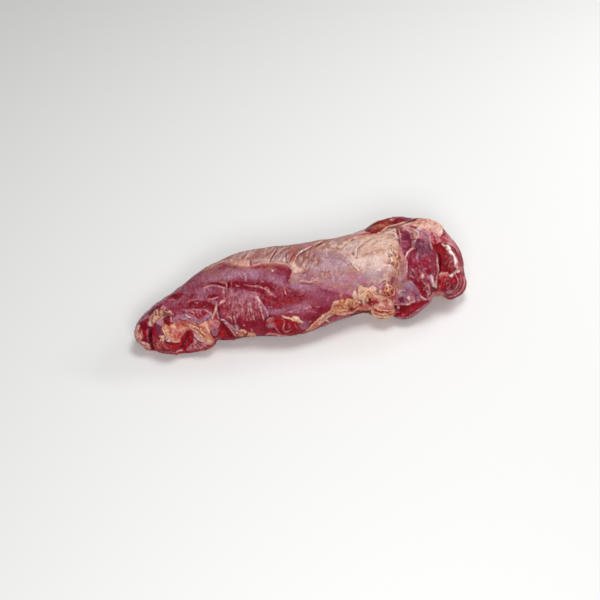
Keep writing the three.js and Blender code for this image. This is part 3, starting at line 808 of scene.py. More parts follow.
# painted glints: the white and cream spots and lines here, over a wetter patch
shine(379, 269.4, 1.8, 1.2, 0, a=0.6)
spot("white", 379.2, 269.6, 1.3, 1.0, a=0.85, h=0.2)
spot("cream", 385, 265.2, 1.6, 0.9, 10, a=0.85, h=0.3)
spot("cream", 389.4, 265.4, 1.4, 0.9, 20, a=0.8, h=0.3)
line("cream", [(390.6, 257), (391.6, 259.4), (393, 262.4)], 1.6, a=0.95, h=0.6)
line("white", [(391, 259), (392, 261)], 0.9, a=0.7)
line("pale", [(384.4, 252.6), (386, 255), (387.6, 257.6)], 0.9, a=0.85, h=0.5)
line("white", [(386.6, 251.2), (388.4, 253.6), (390, 256.2)], 0.9, a=0.85, h=0.5)
line("white", [(389, 250.4), (391, 252.4), (393, 254)], 0.9, a=0.85, h=0.5)
line("cream", [(392.4, 249), (394.6, 251), (397, 252.6)], 0.9, a=0.7, h=0.4)
line("umber", [(385.6, 252.8), (387, 255.2)], 0.8, a=0.6, h=-0.4)
line("umber", [(388, 251.6), (389.8, 254.4)], 0.8, a=0.6, h=-0.4)
line("brown", [(392.6, 253), (394.6, 254.4), (396, 256.6)], 0.9, a=0.7, h=-0.4)

spot("cream/bone", 370, 249.6, 7, 4.6, -10, a=0.4)
# -- seam between the body and the head
area("tan/rose", [(392.6, 262), (396, 250.6), (400.4, 249.6), (403, 255), (405.6, 260), (406.4, 268), (406, 277), (407.6, 283), (404, 289), (400.6, 292), (397.6, 297), (394, 292), (392, 284), (394, 276), (392.6, 270)], soft=2.6, rough=1.0, h=-0.8, rim=4)
spot("bone/cream", 387.6, 256, 4, 5.4, 0, a=0.8)
spot("rose/fawn", 387.6, 261, 2.6, 2.6, 0, a=0.55)
spot("pale/pearl", 389.6, 269, 3.6, 4.4, 0, a=0.85)
spot("rose/pearl", 388.6, 276, 3, 4.4, 0, a=0.7)
spot("sand/cream", 394.6, 251.6, 3.4, 3.6, 30, a=0.7)
spot("sand/ochre", 395, 260, 2.4, 6, 0, a=0.75)
spot("sand/salmon", 400.6, 258.6, 2.4, 5, -8, a=0.7)
spot("brown", 398.8, 258.4, 1.9, 3.4, 6, a=1.0, h=-1.0)
spot("ember", 399, 259, 1.0, 2.0, 6, a=0.5)
spot("brown", 399.4, 261, 1.4, 1.8, 0, a=0.8, h=-0.6)
spot("brown", 396.6, 265.6, 1.7, 2.2, 20, a=0.9, h=-0.7)
spot("brown", 392.6, 264, 0.9, 2.0, -30, a=0.8, h=-0.4)
spot("umber", 394.4, 268, 1.2, 1.6, 0, a=0.7, h=-0.3)
spot("rust/sand", 396.6, 274, 1.8, 6, 8, a=0.65)
spot("plum/maroon", 392.6, 280.6, 1.6, 4, 14, a=0.8, h=-0.4)
spot("tan/umber", 396.6, 283, 2, 6, 4, a=0.6)
spot("dusk/rose", 401.6, 268, 2.6, 6, 0, a=0.7)
spot("haze", 400.6, 277.6, 2.4, 4.4, 0, a=0.75)
spot("plum", 402, 282, 2.0, 2.0, 0, a=0.4)
spot("dusk/umber", 402.6, 287, 3, 3.4, 0, a=0.6)
line("blush", [(400, 239.6), (400.6, 244), (401.4, 248.6), (402.6, 253), (404.6, 257.6), (405.4, 260)], 1.2, a=0.8, h=0.5)
streaks("umber", [(393, 252), (403, 256), (405, 288), (396, 288), (394, 274)], 36, 0.1, 3.4, 0.8, 21, a=0.5, h=-0.3)
streaks("cream", [(392, 252), (403, 256), (404, 272), (396, 276), (392, 266)], 22, 0.1, 2.6, 0.8, 22, a=0.5, h=0.3)
specks("brown", [(385, 254), (392, 254), (396, 262), (394, 270), (387, 262)], 14, 0.9, 79, a=0.6, h=-0.3)
# painted glints: the white specks, lines and dabs here
specks("white", [(384, 251), (392, 250), (396, 256), (393, 264), (386, 264)], 16, 0.8, 80, a=0.6, h=0.3)
line("white", [(384.6, 252), (386, 254.6), (386.6, 256.6)], 0.9, a=0.85, h=0.5)
line("white", [(386.8, 251), (388.6, 253.4), (389.8, 256)], 0.9, a=0.9, h=0.5)
line("white", [(389.4, 250.6), (391.2, 252.6), (392.4, 254)], 0.9, a=0.9, h=0.5)
line("white", [(390.6, 257), (391.4, 259.4), (392.4, 262)], 1.3, a=0.95, h=0.6)
line("cream", [(392.6, 249.4), (394.6, 251), (397, 252.6)], 0.9, a=0.8, h=0.4)
line("brown", [(393, 252.6), (395, 254.2), (396.4, 256.4)], 0.9, a=0.8, h=-0.4)
line("brown", [(387.6, 252.4), (389.4, 255.4), (389.6, 258)], 0.8, a=0.6, h=-0.4)
spot("white", 384.6, 265.2, 1.6, 0.8, 10, a=0.8, h=0.3)
spot("white", 389.4, 265.2, 1.4, 0.8, 20, a=0.8, h=0.3)
line("cream", [(394.6, 257.6), (395.6, 260.6), (395, 263.6)], 1.0, a=0.8, h=0.4)
line("shell", [(400, 254), (401.6, 257), (402.4, 260.6)], 1.0, a=0.8, h=0.3)
line("shell", [(392, 266.4), (394.4, 270), (396.6, 271)], 1.0, a=0.6, h=0.3)
line("blush", [(388, 272.6), (386.4, 277), (385, 281)], 1.0, a=0.6, h=0.3)
spot("clay/umber", 400.4, 269, 3.2, 7, 0, a=0.4)

# -- belly lobe; some of the blush lines on it are painted glints
area("cherry/blood", [(262, 337), (264.6, 328), (264.5, 321.5), (267, 319), (270, 317.3), (275, 316.5), (281, 316.8), (285, 318.5), (289, 319), (294, 321.5), (300, 323.5), (304, 325), (307, 328), (303, 332.4), (297, 334.6), (290, 336.6), (282, 337.6), (274, 337.2), (267, 338)], soft=1.4, rough=0.7, h=0.9, rim=4)
spot("scarlet", 278, 323, 7, 4, 0, a=0.6)
spot("scarlet/cherry", 293, 325, 7, 3.4, 10, a=0.5)
spot("blood", 290, 332, 9, 2.4, 0, a=0.55)
spot("salmon/tan", 270, 320.4, 4, 1.8, -20, a=0.75)
spot("pink/lilac", 271, 325.4, 4.6, 2.6, -10, a=0.65)
spot("blood", 266.4, 330, 2.4, 3.6, 10, a=0.6)
line("dark", [(264.4, 323), (265.8, 320), (268.6, 317.8), (271.6, 316.6)], 1.5, a=0.85, h=-0.9)
line("blush", [(266.4, 320.8), (269, 318.6), (273, 317.6)], 0.9, a=0.5, h=0.3)
line("blush", [(281.6, 318.6), (283.6, 320.4), (284.4, 323), (283.6, 326), (283, 329), (284.2, 331.4), (286.4, 332), (289.6, 330.6), (292.6, 328.6)], 0.75, a=0.5, h=0.3)
line("dark", [(286, 320), (286.8, 323), (286, 326), (285.6, 329)], 1.3, a=0.5, h=-0.5)
line("pink", [(271.8, 324), (274.4, 326), (276.6, 329), (279, 332), (280.4, 334)], 0.9, a=0.6, h=0.3)
line("pink", [(288, 323.4), (289.6, 325.6), (289, 328)], 0.8, a=0.6)
line("pink", [(294.6, 323.4), (296, 326.4), (298.4, 328.8)], 0.8, a=0.6)
line("blush", [(264.6, 335.4), (269, 333.8), (275, 334.2), (281, 335.6), (288, 335.2)], 1.2, a=0.65, h=0.3)
area("cream", [(289.6, 318.8), (292.6, 316.8), (296, 316.6), (299.4, 318.4), (302.6, 321.6), (301.6, 323), (297, 322), (293, 321)], soft=0.9, rough=0.8, h=1.0)
spot("butter", 297.6, 320.6, 2.4, 1.0, 20, a=0.7)
line("cream", [(281.6, 315.6), (285, 317.4), (288, 318.1), (291.4, 318.2)], 1.4, a=0.95, h=0.6)
spot("mauve/slate", 304, 326, 6, 3, 28, a=0.75)
line("pink", [(299, 325), (302, 328), (305, 329.4)], 0.9, a=0.6)
# fat beside it
spot("ochre/apricot", 240.5, 334, 2.6, 2.2, hard=0.4, a=0.9, h=0.6)
line("cream", [(239.6, 331), (242, 330.4), (244, 331), (246.4, 332.4)], 1.5, a=0.9, h=0.5)
spot("gold", 237, 332.6, 1.0, 1.0, hard=0.5, a=0.8, h=0.3)
area("cream/apricot", [(247.4, 334.8), (250, 332.8), (253, 332.3), (255.2, 333.5), (255.6, 336), (253, 337), (249, 336.4)], soft=0.9, rough=0.7, h=0.7)
spot("blush", 244, 325.4, 0.9, 0.9, a=0.7)
spot("rust", 245, 336, 3, 1.4, 0, a=0.5)
specks("rust", [(237, 331), (246, 331), (255, 334), (254, 337), (238, 337)], 14, 0.8, 83, a=0.6, h=-0.3)
specks("cream", [(237, 331), (246, 331), (255, 334), (254, 337), (238, 337)], 12, 0.8, 84, a=0.5, h=0.3)

# -- tail
area("mauve/muscle", [(150, 309), (158, 303), (166, 297), (174, 292), (184, 286), (190, 292), (188, 300), (176, 306), (164, 310), (156, 311)], soft=3.0, rough=1.0, a=0.7)
spot("plum/maroon", 155, 309, 9, 4, -34, a=0.9)
spot("plum/mauve", 146, 316, 6, 3.6, -44, a=0.85)
spot("wine/muscle", 168, 303, 8, 4, -26, a=0.6)
spot("muscle/brick", 183, 303, 9, 5, -14, a=0.6)
spot("mauve/muscle", 176, 307, 6, 1.8, -6, a=0.5)
spot("brick/cherry", 203, 312, 14, 4, 6, a=0.4)
spot("brick/muscle", 215, 300, 10, 8, -30, a=0.45)
area("blood/wine", [(140, 325.6), (142.6, 322.4), (146, 320.2), (148.4, 322), (149, 327), (148, 332), (147.6, 337), (146, 341.6), (142.6, 340.6), (140.8, 337), (141.4, 331)], soft=1.2, rough=0.8, h=-0.4, rim=2)
spot("cherry/scarlet", 144.2, 331, 2.2, 4.4, -6, a=0.75)
spot("maroon", 144.4, 323.6, 2.4, 2, 0, a=0.6)
specks("scarlet", [(141, 324), (148, 322), (147, 338), (142, 339)], 14, 0.8, 60, a=0.5)
area("salmon/shell", [(132, 338), (133.4, 331.4), (135.6, 327), (138.2, 324.6), (139.8, 325), (139.4, 328.6), (141, 333.4), (142.2, 337.6), (140.6, 341.4), (137.6, 341.6), (134, 340)], soft=1.0, rough=0.8, h=0.5)
spot("sand", 135.6, 331, 1.4, 2.4, 14, a=0.6)
spot("shell", 137, 336.4, 2.0, 2.4, 0, a=0.7)
line("cream", [(138.6, 334), (140.4, 336), (141, 339.4)], 1.2, a=0.75, h=0.3)
line("cream", [(135.4, 333.6), (136.4, 330.4), (138, 327.4)], 0.9, a=0.5, h=0.2)
line("salmon", [(135, 337), (137, 339.6), (139.4, 341)], 1.1, a=0.6)
spot("brown", 139.4, 331.2, 1.2, 2.4, hard=0.3, a=0.85, h=-0.5)
line("blush", [(141.4, 329.4), (141.8, 333.6), (143, 338)], 0.8, a=0.7, h=0.2)
line("pink", [(148, 328), (147.2, 332.6), (147.4, 338.4)], 0.9, a=0.7, h=0.3)
line("pink", [(146.4, 320.8), (148, 323.4), (148.8, 326)], 0.9, a=0.6, h=0.3)
line("haze/mauve", [(134.6, 332), (136.6, 325.4), (140.6, 318.6), (146.6, 312.4), (152.8, 307.2), (158, 303.6), (163, 299.6), (167.4, 296.2)], 2.4, a=0.65, h=0.3, taper=0.4)
line("blush", [(140.4, 321.4), (143.4, 319), (147.4, 317.4)], 0.9, a=0.55, h=0.2)
area("shell/salmon", [(136.6, 340), (139, 341.6), (142, 342.6), (146, 344.6), (150, 347), (153.4, 349), (152.4, 352), (148, 350.6), (143.6, 347.6), (139, 344)], soft=1.0, rough=0.6, h=0.4)
# painted highlight along the bottom rim
line("white", [(142.6, 341.8), (145.6, 343.4), (148.4, 345.4), (150.4, 347.4)], 1.5, a=0.65, h=0.4)
line("brick", [(140, 344.4), (144, 347), (149, 349.6)], 1.0, a=0.6, h=-0.3)
area("cherry/brick", [(150, 326), (153, 324), (158, 322), (165, 322), (172, 326), (170, 340), (180, 342), (184, 350), (176, 354), (160, 354), (151, 351), (150, 340)], soft=1.4, rough=0.8, h=0)
# the first cleft: sunk, and painted dark and black for the shade in it
area("dark/black", [(150.1, 326.2), (151.8, 328.4), (152.6, 332), (152.4, 337), (152.9, 341), (153.6, 345), (154.6, 349), (152.6, 349.6), (150.8, 345), (149.2, 340), (148.6, 335.4), (148.9, 330.4)], soft=0.9, rough=0.3, h=-2.4, rim=2.0)
spot("black", 151, 337, 1.1, 8, -6, a=0.6)
spot("wine", 150.6, 330, 0.9, 2.4, 0, a=0.4)
spot("blood", 151.8, 344, 0.9, 3, -10, a=0.35)
area("plum/muscle", [(154.6, 325.4), (157, 323.8), (160.2, 325.4), (161.6, 329), (163.2, 333.4), (163.9, 336.4), (160.6, 336.6), (158.4, 336.4), (157, 334.4), (156, 330.4)], soft=1.2, rough=0.5, h=0.4)
spot("plum", 159.4, 330, 2.0, 3.4, -16, a=0.5)
line("cherry/wine", [(154.2, 327), (154.4, 331), (155.4, 335), (156.8, 338.6)], 2.4, a=0.8)
line("dark", [(161.2, 326), (162.8, 330.2), (164.4, 335), (165.2, 337.4)], 0.9, a=0.9, h=-0.5)
area("brick/salmon", [(154, 340), (158, 339.6), (163, 342), (168, 345), (166, 349), (160, 349.6), (155.6, 346)], soft=2.0, rough=1.0, a=0.85)
specks("salmon", [(154, 338), (160, 341), (168, 345), (164, 349), (156, 347)], 18, 0.9, 61, a=0.6, h=0.2)
specks("blood", [(154, 338), (160, 341), (168, 345), (164, 350), (156, 350)], 18, 0.9, 62, a=0.6, h=-0.2)
line("blush", [(156.6, 344), (158.4, 346.4), (160, 348.8)], 0.8, a=0.45, h=0.2)
area("cream/shell", [(159.2, 336.4), (161.4, 335.4), (163.8, 336), (164.2, 338.3), (163.2, 341.4), (161.8, 340.4), (160.8, 342), (159.8, 340.6), (160.2, 338.6)], soft=0.8, rough=0.5, h=0.5)
line("rust", [(161.2, 337.6), (162, 340)], 0.8, a=0.6, h=-0.3)
# tan and rust fat at the head of the cleft
area("sand/tan", [(149.8, 321.4), (148.9, 324.2), (150.2, 326.8), (152.2, 324.8), (154.8, 322.2), (157, 320.4), (159.5, 319.3), (163, 318.2), (164.4, 316.8), (168, 315.8), (171.2, 315.1), (172.2, 312.5), (169.5, 310.6), (165, 310.8), (163.5, 308.1), (161.4, 308.4), (160, 311), (156.5, 309.8), (154.3, 311.3), (152.8, 314.4), (151.3, 316.4), (149.3, 317), (149.8, 319.5)], soft=1.2, rough=1.2, h=0.8, rim=2)
area("brown/clay", [(161.6, 317), (163, 313.4), (164.8, 310.8), (168, 311.4), (171.4, 313), (170, 315.2), (167.4, 316.4), (165, 318)], soft=1.6, rough=0.9, a=0.9)
spot("butter/sand", 155.4, 317.4, 3, 3, 0, a=0.6)
spot("brown/sand", 152.8, 318, 1.2, 3, 14, a=0.55)
spot("mauve/rose", 158.4, 312.6, 1.6, 1.2, 0, a=0.6)
for x, y in ((156.3, 315.1), (158.7, 315.1)):
    spot("brown", x, y, 0.9, 0.7, hard=0.7, a=0.95, h=-0.6)
specks("umber", [(151, 316), (156, 311), (163, 312), (160, 319), (154, 322)], 16, 0.8, 63, a=0.6, h=-0.3)
specks("cream", [(151, 316), (156, 311), (163, 312), (160, 319), (154, 322)], 16, 0.9, 64, a=0.6, h=0.3)
line("cream", [(149.6, 318), (151.4, 316.6), (153, 314), (154.4, 311.6)], 1.0, a=0.8, h=0.4)
line("cream", [(156.2, 310.4), (157.4, 312.4), (157.4, 314.6)], 0.9, a=0.75, h=0.3)
line("cream", [(159.6, 314.4), (160.4, 312), (161.8, 310)], 1.2, a=0.85, h=0.4)
line("blush", [(161.8, 309.4), (162.6, 307), (164.4, 306.4), (165.4, 308.6)], 0.9, a=0.8, h=0.3)
line("cream", [(154.4, 320), (157, 318.6), (160, 318.6), (163, 317)], 0.9, a=0.6, h=0.3)
line("shell", [(163.6, 311), (167, 312.4), (170, 311.8), (172.4, 314.4)], 1.1, a=0.8, h=0.4)
line("ember", [(163, 311.6), (166.4, 313.4), (169.6, 314.4)], 0.9, a=0.5, h=-0.3)
line("brown", [(153.6, 312), (152.6, 315), (152.4, 319), (151.4, 322)], 1.0, a=0.75, h=-0.5)
line("brown", [(155.6, 310.6), (156, 313), (155.4, 316)], 0.8, a=0.6, h=-0.4)
line("brown", [(158.6, 311), (159.6, 313), (160, 316)], 0.9, a=0.7, h=-0.5)
line("brown", [(156.6, 320.6), (158.4, 318.6), (161.4, 317.6)], 0.8, a=0.6, h=-0.4)
line("maroon", [(162.4, 309.6), (164.6, 310.4), (168, 311)], 0.9, a=0.6, h=-0.4)
spot("brick/tan", 161, 309.6, 1.4, 1.2, 0, a=0.6)
spot("mauve/rose", 163.4, 308.4, 1.2, 1.6, 0, a=0.7)
specks("brown", [(151, 314), (156, 311), (163, 311), (170, 312), (164, 318), (156, 321), (151, 324)], 20, 0.8, 85, a=0.6, h=-0.3)
specks("butter", [(151, 314), (156, 311), (163, 311), (170, 312), (164, 318), (156, 321), (151, 324)], 14, 0.8, 86, a=0.6, h=0.3)
line("pale", [(149.7, 320.6), (149.6, 323.4), (150.4, 326.4)], 1.6, a=0.8, h=0.5)
line("ivory", [(153.5, 318), (153.4, 321), (154.4, 323)], 1.2, a=0.75, h=0.4)
spot("brown", 152.2, 324, 1.2, 1.2, -30, a=0.8, h=-0.4)
area("haze/pink", [(156, 321.6), (159.6, 319.6), (163.2, 319.2), (163.8, 323), (161.4, 326), (158.4, 324.4)], soft=1.6, rough=0.8, a=0.9)
area("brick/maroon", [(164.4, 320.6), (167.4, 320.2), (171, 320), (172.6, 321.6), (171.6, 324.4), (168.6, 325.6), (166, 324.6), (163.8, 325.4), (164, 322.4)], soft=1.2, rough=0.8)
area("maroon/plum", [(165, 316.6), (168, 315.6), (171.4, 315.6), (172, 318), (170, 320), (166.6, 319.6), (164.6, 318.6)], soft=1.2, rough=0.6, h=-0.5)
line("blush", [(171, 315.6), (171, 318.6), (171.6, 320.8), (173.4, 321.6)], 1.2, a=0.9, h=0.4)
line("blush", [(169.4, 311.4), (172.4, 313.8), (174, 316)], 0.9, a=0.7, h=0.3)
line("salmon", [(172.6, 311.4), (176, 313), (180, 313.6)], 0.9, a=0.4)
# above: dark wine band, lavender band, curls
area("wine/muscle", [(172.4, 310), (178, 309.4), (186, 310.3), (190, 311.4), (188.4, 314), (183, 314.7), (177, 313.8), (173.6, 312.8)], soft=1.6, rough=0.8, h=-0.2)
area("mauve/slate", [(172, 320.6), (174, 316.4), (178, 314.9), (183, 314.3), (187, 314), (190, 314.9), (194, 317), (199, 319.2), (203, 317.9), (208, 313.8), (212, 313.4), (212.4, 317), (210.7, 319.3), (205, 320.8), (200, 323.2), (197.4, 324), (192, 322), (186, 321), (180, 321), (175, 322.4)], soft=1.6, rough=0.9, a=0.9, h=0.3)
spot("slate", 178, 319, 4, 1.6, -4, a=0.6)
spot("haze", 186, 318.4, 5, 1.6, 0, a=0.55)
spot("haze/lilac", 198, 321, 4, 1.4, 10, a=0.7)
spot("lilac/haze", 208, 316, 3, 1.6, -20, a=0.6)
streaks("wine", [(173, 315), (190, 312), (206, 317), (198, 322), (174, 321)], 30, -6, 2.6, 0.8, 65, a=0.6)
streaks("pink", [(173, 315), (190, 312), (196, 317), (190, 320), (174, 321)], 16, -6, 2.6, 0.7, 66, a=0.55)
# painted glints in the lavender band
line("white", [(185.6, 315.2), (188, 316.4), (191, 317.6)], 0.9, a=0.6, h=0.3)
line("pink", [(193, 316.6), (195, 318), (197.4, 319.2)], 1.0, a=0.8, h=0.3)
# the curls
line("blush", [(190.6, 311.6), (193, 312), (194.2, 314), (192.8, 315.6), (190.8, 315.4)], 0.9, a=0.8, h=0.4)
line("pink", [(186, 311), (188, 312.4), (187.6, 314.6)], 0.8, a=0.6)
line("blush", [(196.6, 311), (197.4, 313.4), (198.4, 316)], 0.9, a=0.65, h=0.3)
line("pink", [(200.4, 310.6), (200.6, 313.4), (202, 315.6)], 0.9, a=0.6)
line("blush", [(204.4, 309.6), (206.6, 310.6), (208.6, 312.4), (211.6, 312)], 1.0, a=0.75, h=0.3)
line("blush", [(210.4, 312.6), (211.6, 314.8), (213, 317)], 1.0, a=0.7, h=0.3)
spot("maroon/wine", 196, 314.4, 2, 1.4, 0, a=0.6)
spot("wine", 203.6, 313.6, 2, 1.4, 0, a=0.6)
spot("maroon/wine", 184, 312.8, 2, 1.2, 0, a=0.5)
area("wine/blood", [(188, 308.4), (187.6, 303.4), (189.6, 300.6), (196, 299.8), (200, 301.3), (205, 300.8), (208, 301.4), (212, 303), (214.2, 305), (213.6, 307), (210, 308.7), (206, 307.7), (200, 308.8), (194, 309.2), (189.4, 308.8)], soft=1.4, rough=0.9, a=0.9, h=-0.4)
spot("blood/dark", 193, 305, 3.4, 2.4, 0, a=0.6)
spot("blood/dark", 205, 304.4, 4, 2, 4, a=0.5)
spot("pink", 197, 302.6, 1.4, 0.9, a=0.7)
specks("pink", [(190, 300), (200, 300), (212, 304), (206, 308), (192, 308)], 16, 0.7, 67, a=0.45)
line("pink", [(187.6, 302.6), (190.6, 300.6), (194, 299.6), (198, 299), (203, 299.4)], 1.0, a=0.7, h=0.2)
line("pink", [(180, 309.2), (184, 309.8), (188.6, 310.4), (192, 309.8)], 0.9, a=0.6, h=0.2)
line("blush", [(190, 310), (194, 309.5), (199, 309.9), (204.4, 309.4)], 1.0, a=0.75, h=0.3)
area("wine/blood", [(207.6, 296.6), (211, 294.6), (217, 294.6), (219, 295.6), (217.8, 297), (213, 297.8), (209.4, 298.2)], soft=1.2, rough=0.6, a=0.9, h=-0.3)
line("blush", [(207.6, 299.6), (211, 299.2), (214.4, 298.4), (217.4, 297.2), (219, 296.4)], 1.0, a=0.85, h=0.3)
line("pink", [(206.6, 300.6), (210, 301.6), (213, 303.4), (215, 304.6)], 0.9, a=0.75, h=0.2)
spot("mauve", 200, 296.6, 6, 1.8, -8, a=0.6)
spot("mauve", 213.4, 301, 2.4, 1.4, 20, a=0.6)
spot("wine/cherry", 211, 305.6, 3, 3, 0, a=0.4)
area("blood/cherry", [(167.6, 297.6), (170.8, 294.7), (175, 293.3), (180, 292.8), (183.4, 293.7), (181.3, 296.2), (179, 298.7), (175, 299.4), (170.6, 299)], soft=1.2, rough=0.7, a=0.95, h=-0.3)
spot("dark", 176, 295.4, 2.6, 1.2, -8, a=0.5)
line("pink", [(165.8, 299.8), (170, 300.5), (173, 299.8), (176.4, 300.6)], 0.9, a=0.65, h=0.2)
line("pink", [(170, 302.4), (174, 302.8), (179, 301.6)], 0.8, a=0.4)
spot("pink", 177.6, 302.4, 1.4, 1.0, a=0.4)
# main fat of the tail
area("apricot/salmon", [(161.4, 327.4), (163.4, 325.3), (166, 324.6), (168.5, 326.4), (171, 324.8), (175, 322.8), (180, 321.6), (186, 321.5), (191, 322.1), (196, 323.4), (199, 324.8), (203, 323.8), (205, 320.8), (208, 320.7), (209.4, 322.5), (211.3, 326.5), (211.4, 331), (211.5, 335.5), (213.6, 338.3), (215, 340.6), (213.7, 343.3), (210, 344.8), (206.3, 343.6), (203.7, 341), (200, 338.7), (197.4, 336), (194.6, 333), (191, 330.6), (187.6, 330.4), (184.6, 332.4), (182.6, 335.6), (180.6, 338), (179.4, 341.4), (176, 342.6), (171, 342), (168, 340.6), (165.6, 338), (164.4, 334), (162.6, 330.4)], soft=1.0, rough=0.9, h=1.0, rim=3)
spot("butter", 165.6, 329.6, 2.6, 5, -14, a=0.95)
spot("butter/cream", 168, 335.6, 2.6, 3.4, -20, a=0.7)
spot("cream", 171.4, 339.4, 3, 1.8, 10, a=0.6)
spot("salmon/pink", 175, 331.6, 4.4, 4, 0, a=0.85)
spot("apricot/salmon", 172, 336, 3, 2.4, 0, a=0.7)
spot("salmon/brick", 178.4, 335.6, 2.4, 3, 20, a=0.75)
spot("butter/apricot", 174, 325.6, 3.4, 1.8, -8, a=0.8)
spot("salmon", 180.4, 328.4, 2.6, 2.4, 0, a=0.6)
spot("rust/ember", 182, 323.8, 6, 1.7, 2, a=0.85)
spot("rust/apricot", 190, 324.8, 5, 1.6, 12, a=0.75)
spot("shell/salmon", 184.6, 328.6, 5, 2.0, -16, a=0.85)
spot("shell/pink", 188, 327.6, 4, 1.6, 0, a=0.6)
spot("salmon/rose", 196, 328.4, 4, 2.4, 24, a=0.7)
spot("butter/sand", 197.6, 331, 3.4, 1.4, 34, a=0.75)
spot("butter", 202.4, 324.6, 3, 1.8, -10, a=0.85)
spot("shell", 207, 326, 1.6, 4, -8, a=0.8)
spot("rose/salmon", 203, 333.6, 2.6, 3.4, -30, a=0.75)
spot("butter/cream", 209.4, 340.6, 3.6, 2.2, 34, a=0.85)
spot("sand/butter", 207, 337.4, 2, 2, 0, a=0.6)
line("cream", [(204.6, 321.4), (206, 325), (207.6, 329), (209.4, 333)], 1.8, a=0.85, h=0.7)
line("rust", [(199.6, 326.6), (202.2, 328.6), (204.4, 331.6), (207, 334.6)], 0.9, a=0.8, h=-0.6)
line("brown", [(186, 322.2), (190, 323.4), (194.4, 325.2), (198.4, 327.4)], 0.9, a=0.7, h=-0.5)
line("rust", [(183, 326), (188, 325.8), (192.6, 327), (196.6, 329.4), (200, 332.6), (203.4, 336), (206.6, 338)], 0.9, a=0.75, h=-0.6)
line("brick", [(192, 329.4), (196, 332), (199.6, 335), (203, 338.4)], 0.9, a=0.6, h=-0.5)
line("cream", [(188, 324.6), (192.6, 325.8), (196.8, 328), (200.4, 331), (204, 334.6)], 0.9, a=0.65, h=0.4)
line("cream", [(190, 328), (194.4, 330.6), (198, 333.4), (201.4, 336.6), (205, 339.6)], 1.0, a=0.7, h=0.4)
line("shell", [(171, 341), (175, 341.8), (178.4, 341.2), (180, 338.6)], 1.4, a=0.8, h=0.5)
line("cream", [(162.4, 327.4), (163.6, 331), (165, 335.6)], 1.1, a=0.8, h=0.4)
line("cream", [(196.2, 333.8), (198.6, 336.6), (202, 339.6), (205.6, 342.6), (209.6, 344.2)], 1.2, a=0.8, h=0.4)
line("rust", [(176.4, 323.4), (177.6, 326.6), (178, 330)], 0.9, a=0.75, h=-0.5)
line("ember", [(175, 324), (176, 325.4)], 1.1, a=0.8, h=-0.4)
line("rust", [(169.4, 327), (170.4, 331), (169.6, 335)], 0.9, a=0.6, h=-0.5)
line("brick", [(172.4, 333.4), (174.6, 336.6), (174, 340)], 0.9, a=0.5, h=-0.4)
line("pink", [(172.6, 329.6), (175.4, 331), (178, 330.4), (181, 331.6)], 0.9, a=0.6, h=0.3)
line("cream", [(170.6, 326.6), (173, 328), (175.6, 327.6)], 0.9, a=0.6, h=0.3)
streaks("rust", [(163, 327), (186, 324), (200, 327), (210, 338), (200, 334), (182, 332), (172, 340), (166, 337)], 44, -1.2, 2.0, 0.8, 23, a=0.45, h=-0.35)
streaks("cream", [(163, 327), (186, 324), (200, 327), (211, 340), (200, 334), (182, 332), (172, 340), (166, 337)], 44, -1.2, 2.2, 0.8, 24, a=0.5, h=0.35)
# a painted glint: a white spot in a pale haze
area("haze/pale", [(164.8, 338.6), (167, 337.6), (169.6, 338.6), (170.6, 340.8), (168.4, 341.8), (165.8, 341)], soft=1.0, rough=0.6, a=0.9, h=0.3)
spot("plum", 167.4, 339.4, 0.7, 0.6, hard=0.6, a=0.8)
spot("white", 168.6, 340.6, 1.0, 0.8, a=0.8, h=0.2)
# painted shadow under the fat's lower edge, which is sunk as well
line("dark", [(164.8, 338.8), (166, 341.6), (168.6, 343.6), (172, 344.6), (176, 343.8), (180.4, 342)], 1.5, a=0.85, h=-1.0, hw=2.2)
spot("scarlet/cherry", 172, 347, 7, 2.6, 4, a=0.85)
spot("scarlet", 176.6, 345.6, 4, 1.6, -10, a=0.6)
specks("blood", [(160, 343), (180, 345), (180, 351), (164, 351)], 26, 0.9, 68, a=0.5, h=-0.2)
specks("salmon", [(160, 343), (180, 345), (180, 349), (164, 350)], 8, 0.7, 69, a=0.25, h=0.2)
line("pink", [(163.4, 345), (166, 347.4), (169.6, 348.6)], 1.0, a=0.55, h=0.2)
line("blush", [(176.4, 352.4), (179.4, 350.9), (183, 349.6)], 1.6, a=0.8, h=0.3)
spot("blood", 166, 350.6, 7, 2, 10, a=0.45)
line("mauve", [(156, 349.6), (162, 351.6), (170, 352.4), (177, 352.4)], 1.6, a=0.5)
# the second cleft, sunk, with painted shade (dark and maroon) down its middle
area("scarlet/cherry", [(179.4, 343.4), (180.6, 338.2), (183.6, 335), (186.4, 332.6), (185.6, 337), (183.6, 341.8), (181.4, 346.6), (178, 349)], soft=1.2, rough=0.6, h=-0.6, rim=2)
area("blood/cherry", [(188.8, 331), (192, 331.8), (193.8, 336), (193.4, 341), (190.4, 345), (187.2, 349), (184, 350.4), (182.6, 347.4), (186.3, 343.4), (188.3, 338.4)], soft=1.0, rough=0.6, h=0.2)
area("dark/maroon", [(187.2, 331.8), (189.2, 330.9), (188.6, 335), (187.4, 339.2), (185.4, 343.2), (183, 346.6), (180.8, 349.6), (180.9, 346.4), (183.2, 341.4), (185.4, 337)], soft=1.0, rough=0.4, h=-1.6, rim=2)
line("scarlet", [(190.4, 333), (190.8, 337), (189.4, 341.6), (186.6, 346)], 1.1, a=0.6, h=0.2)
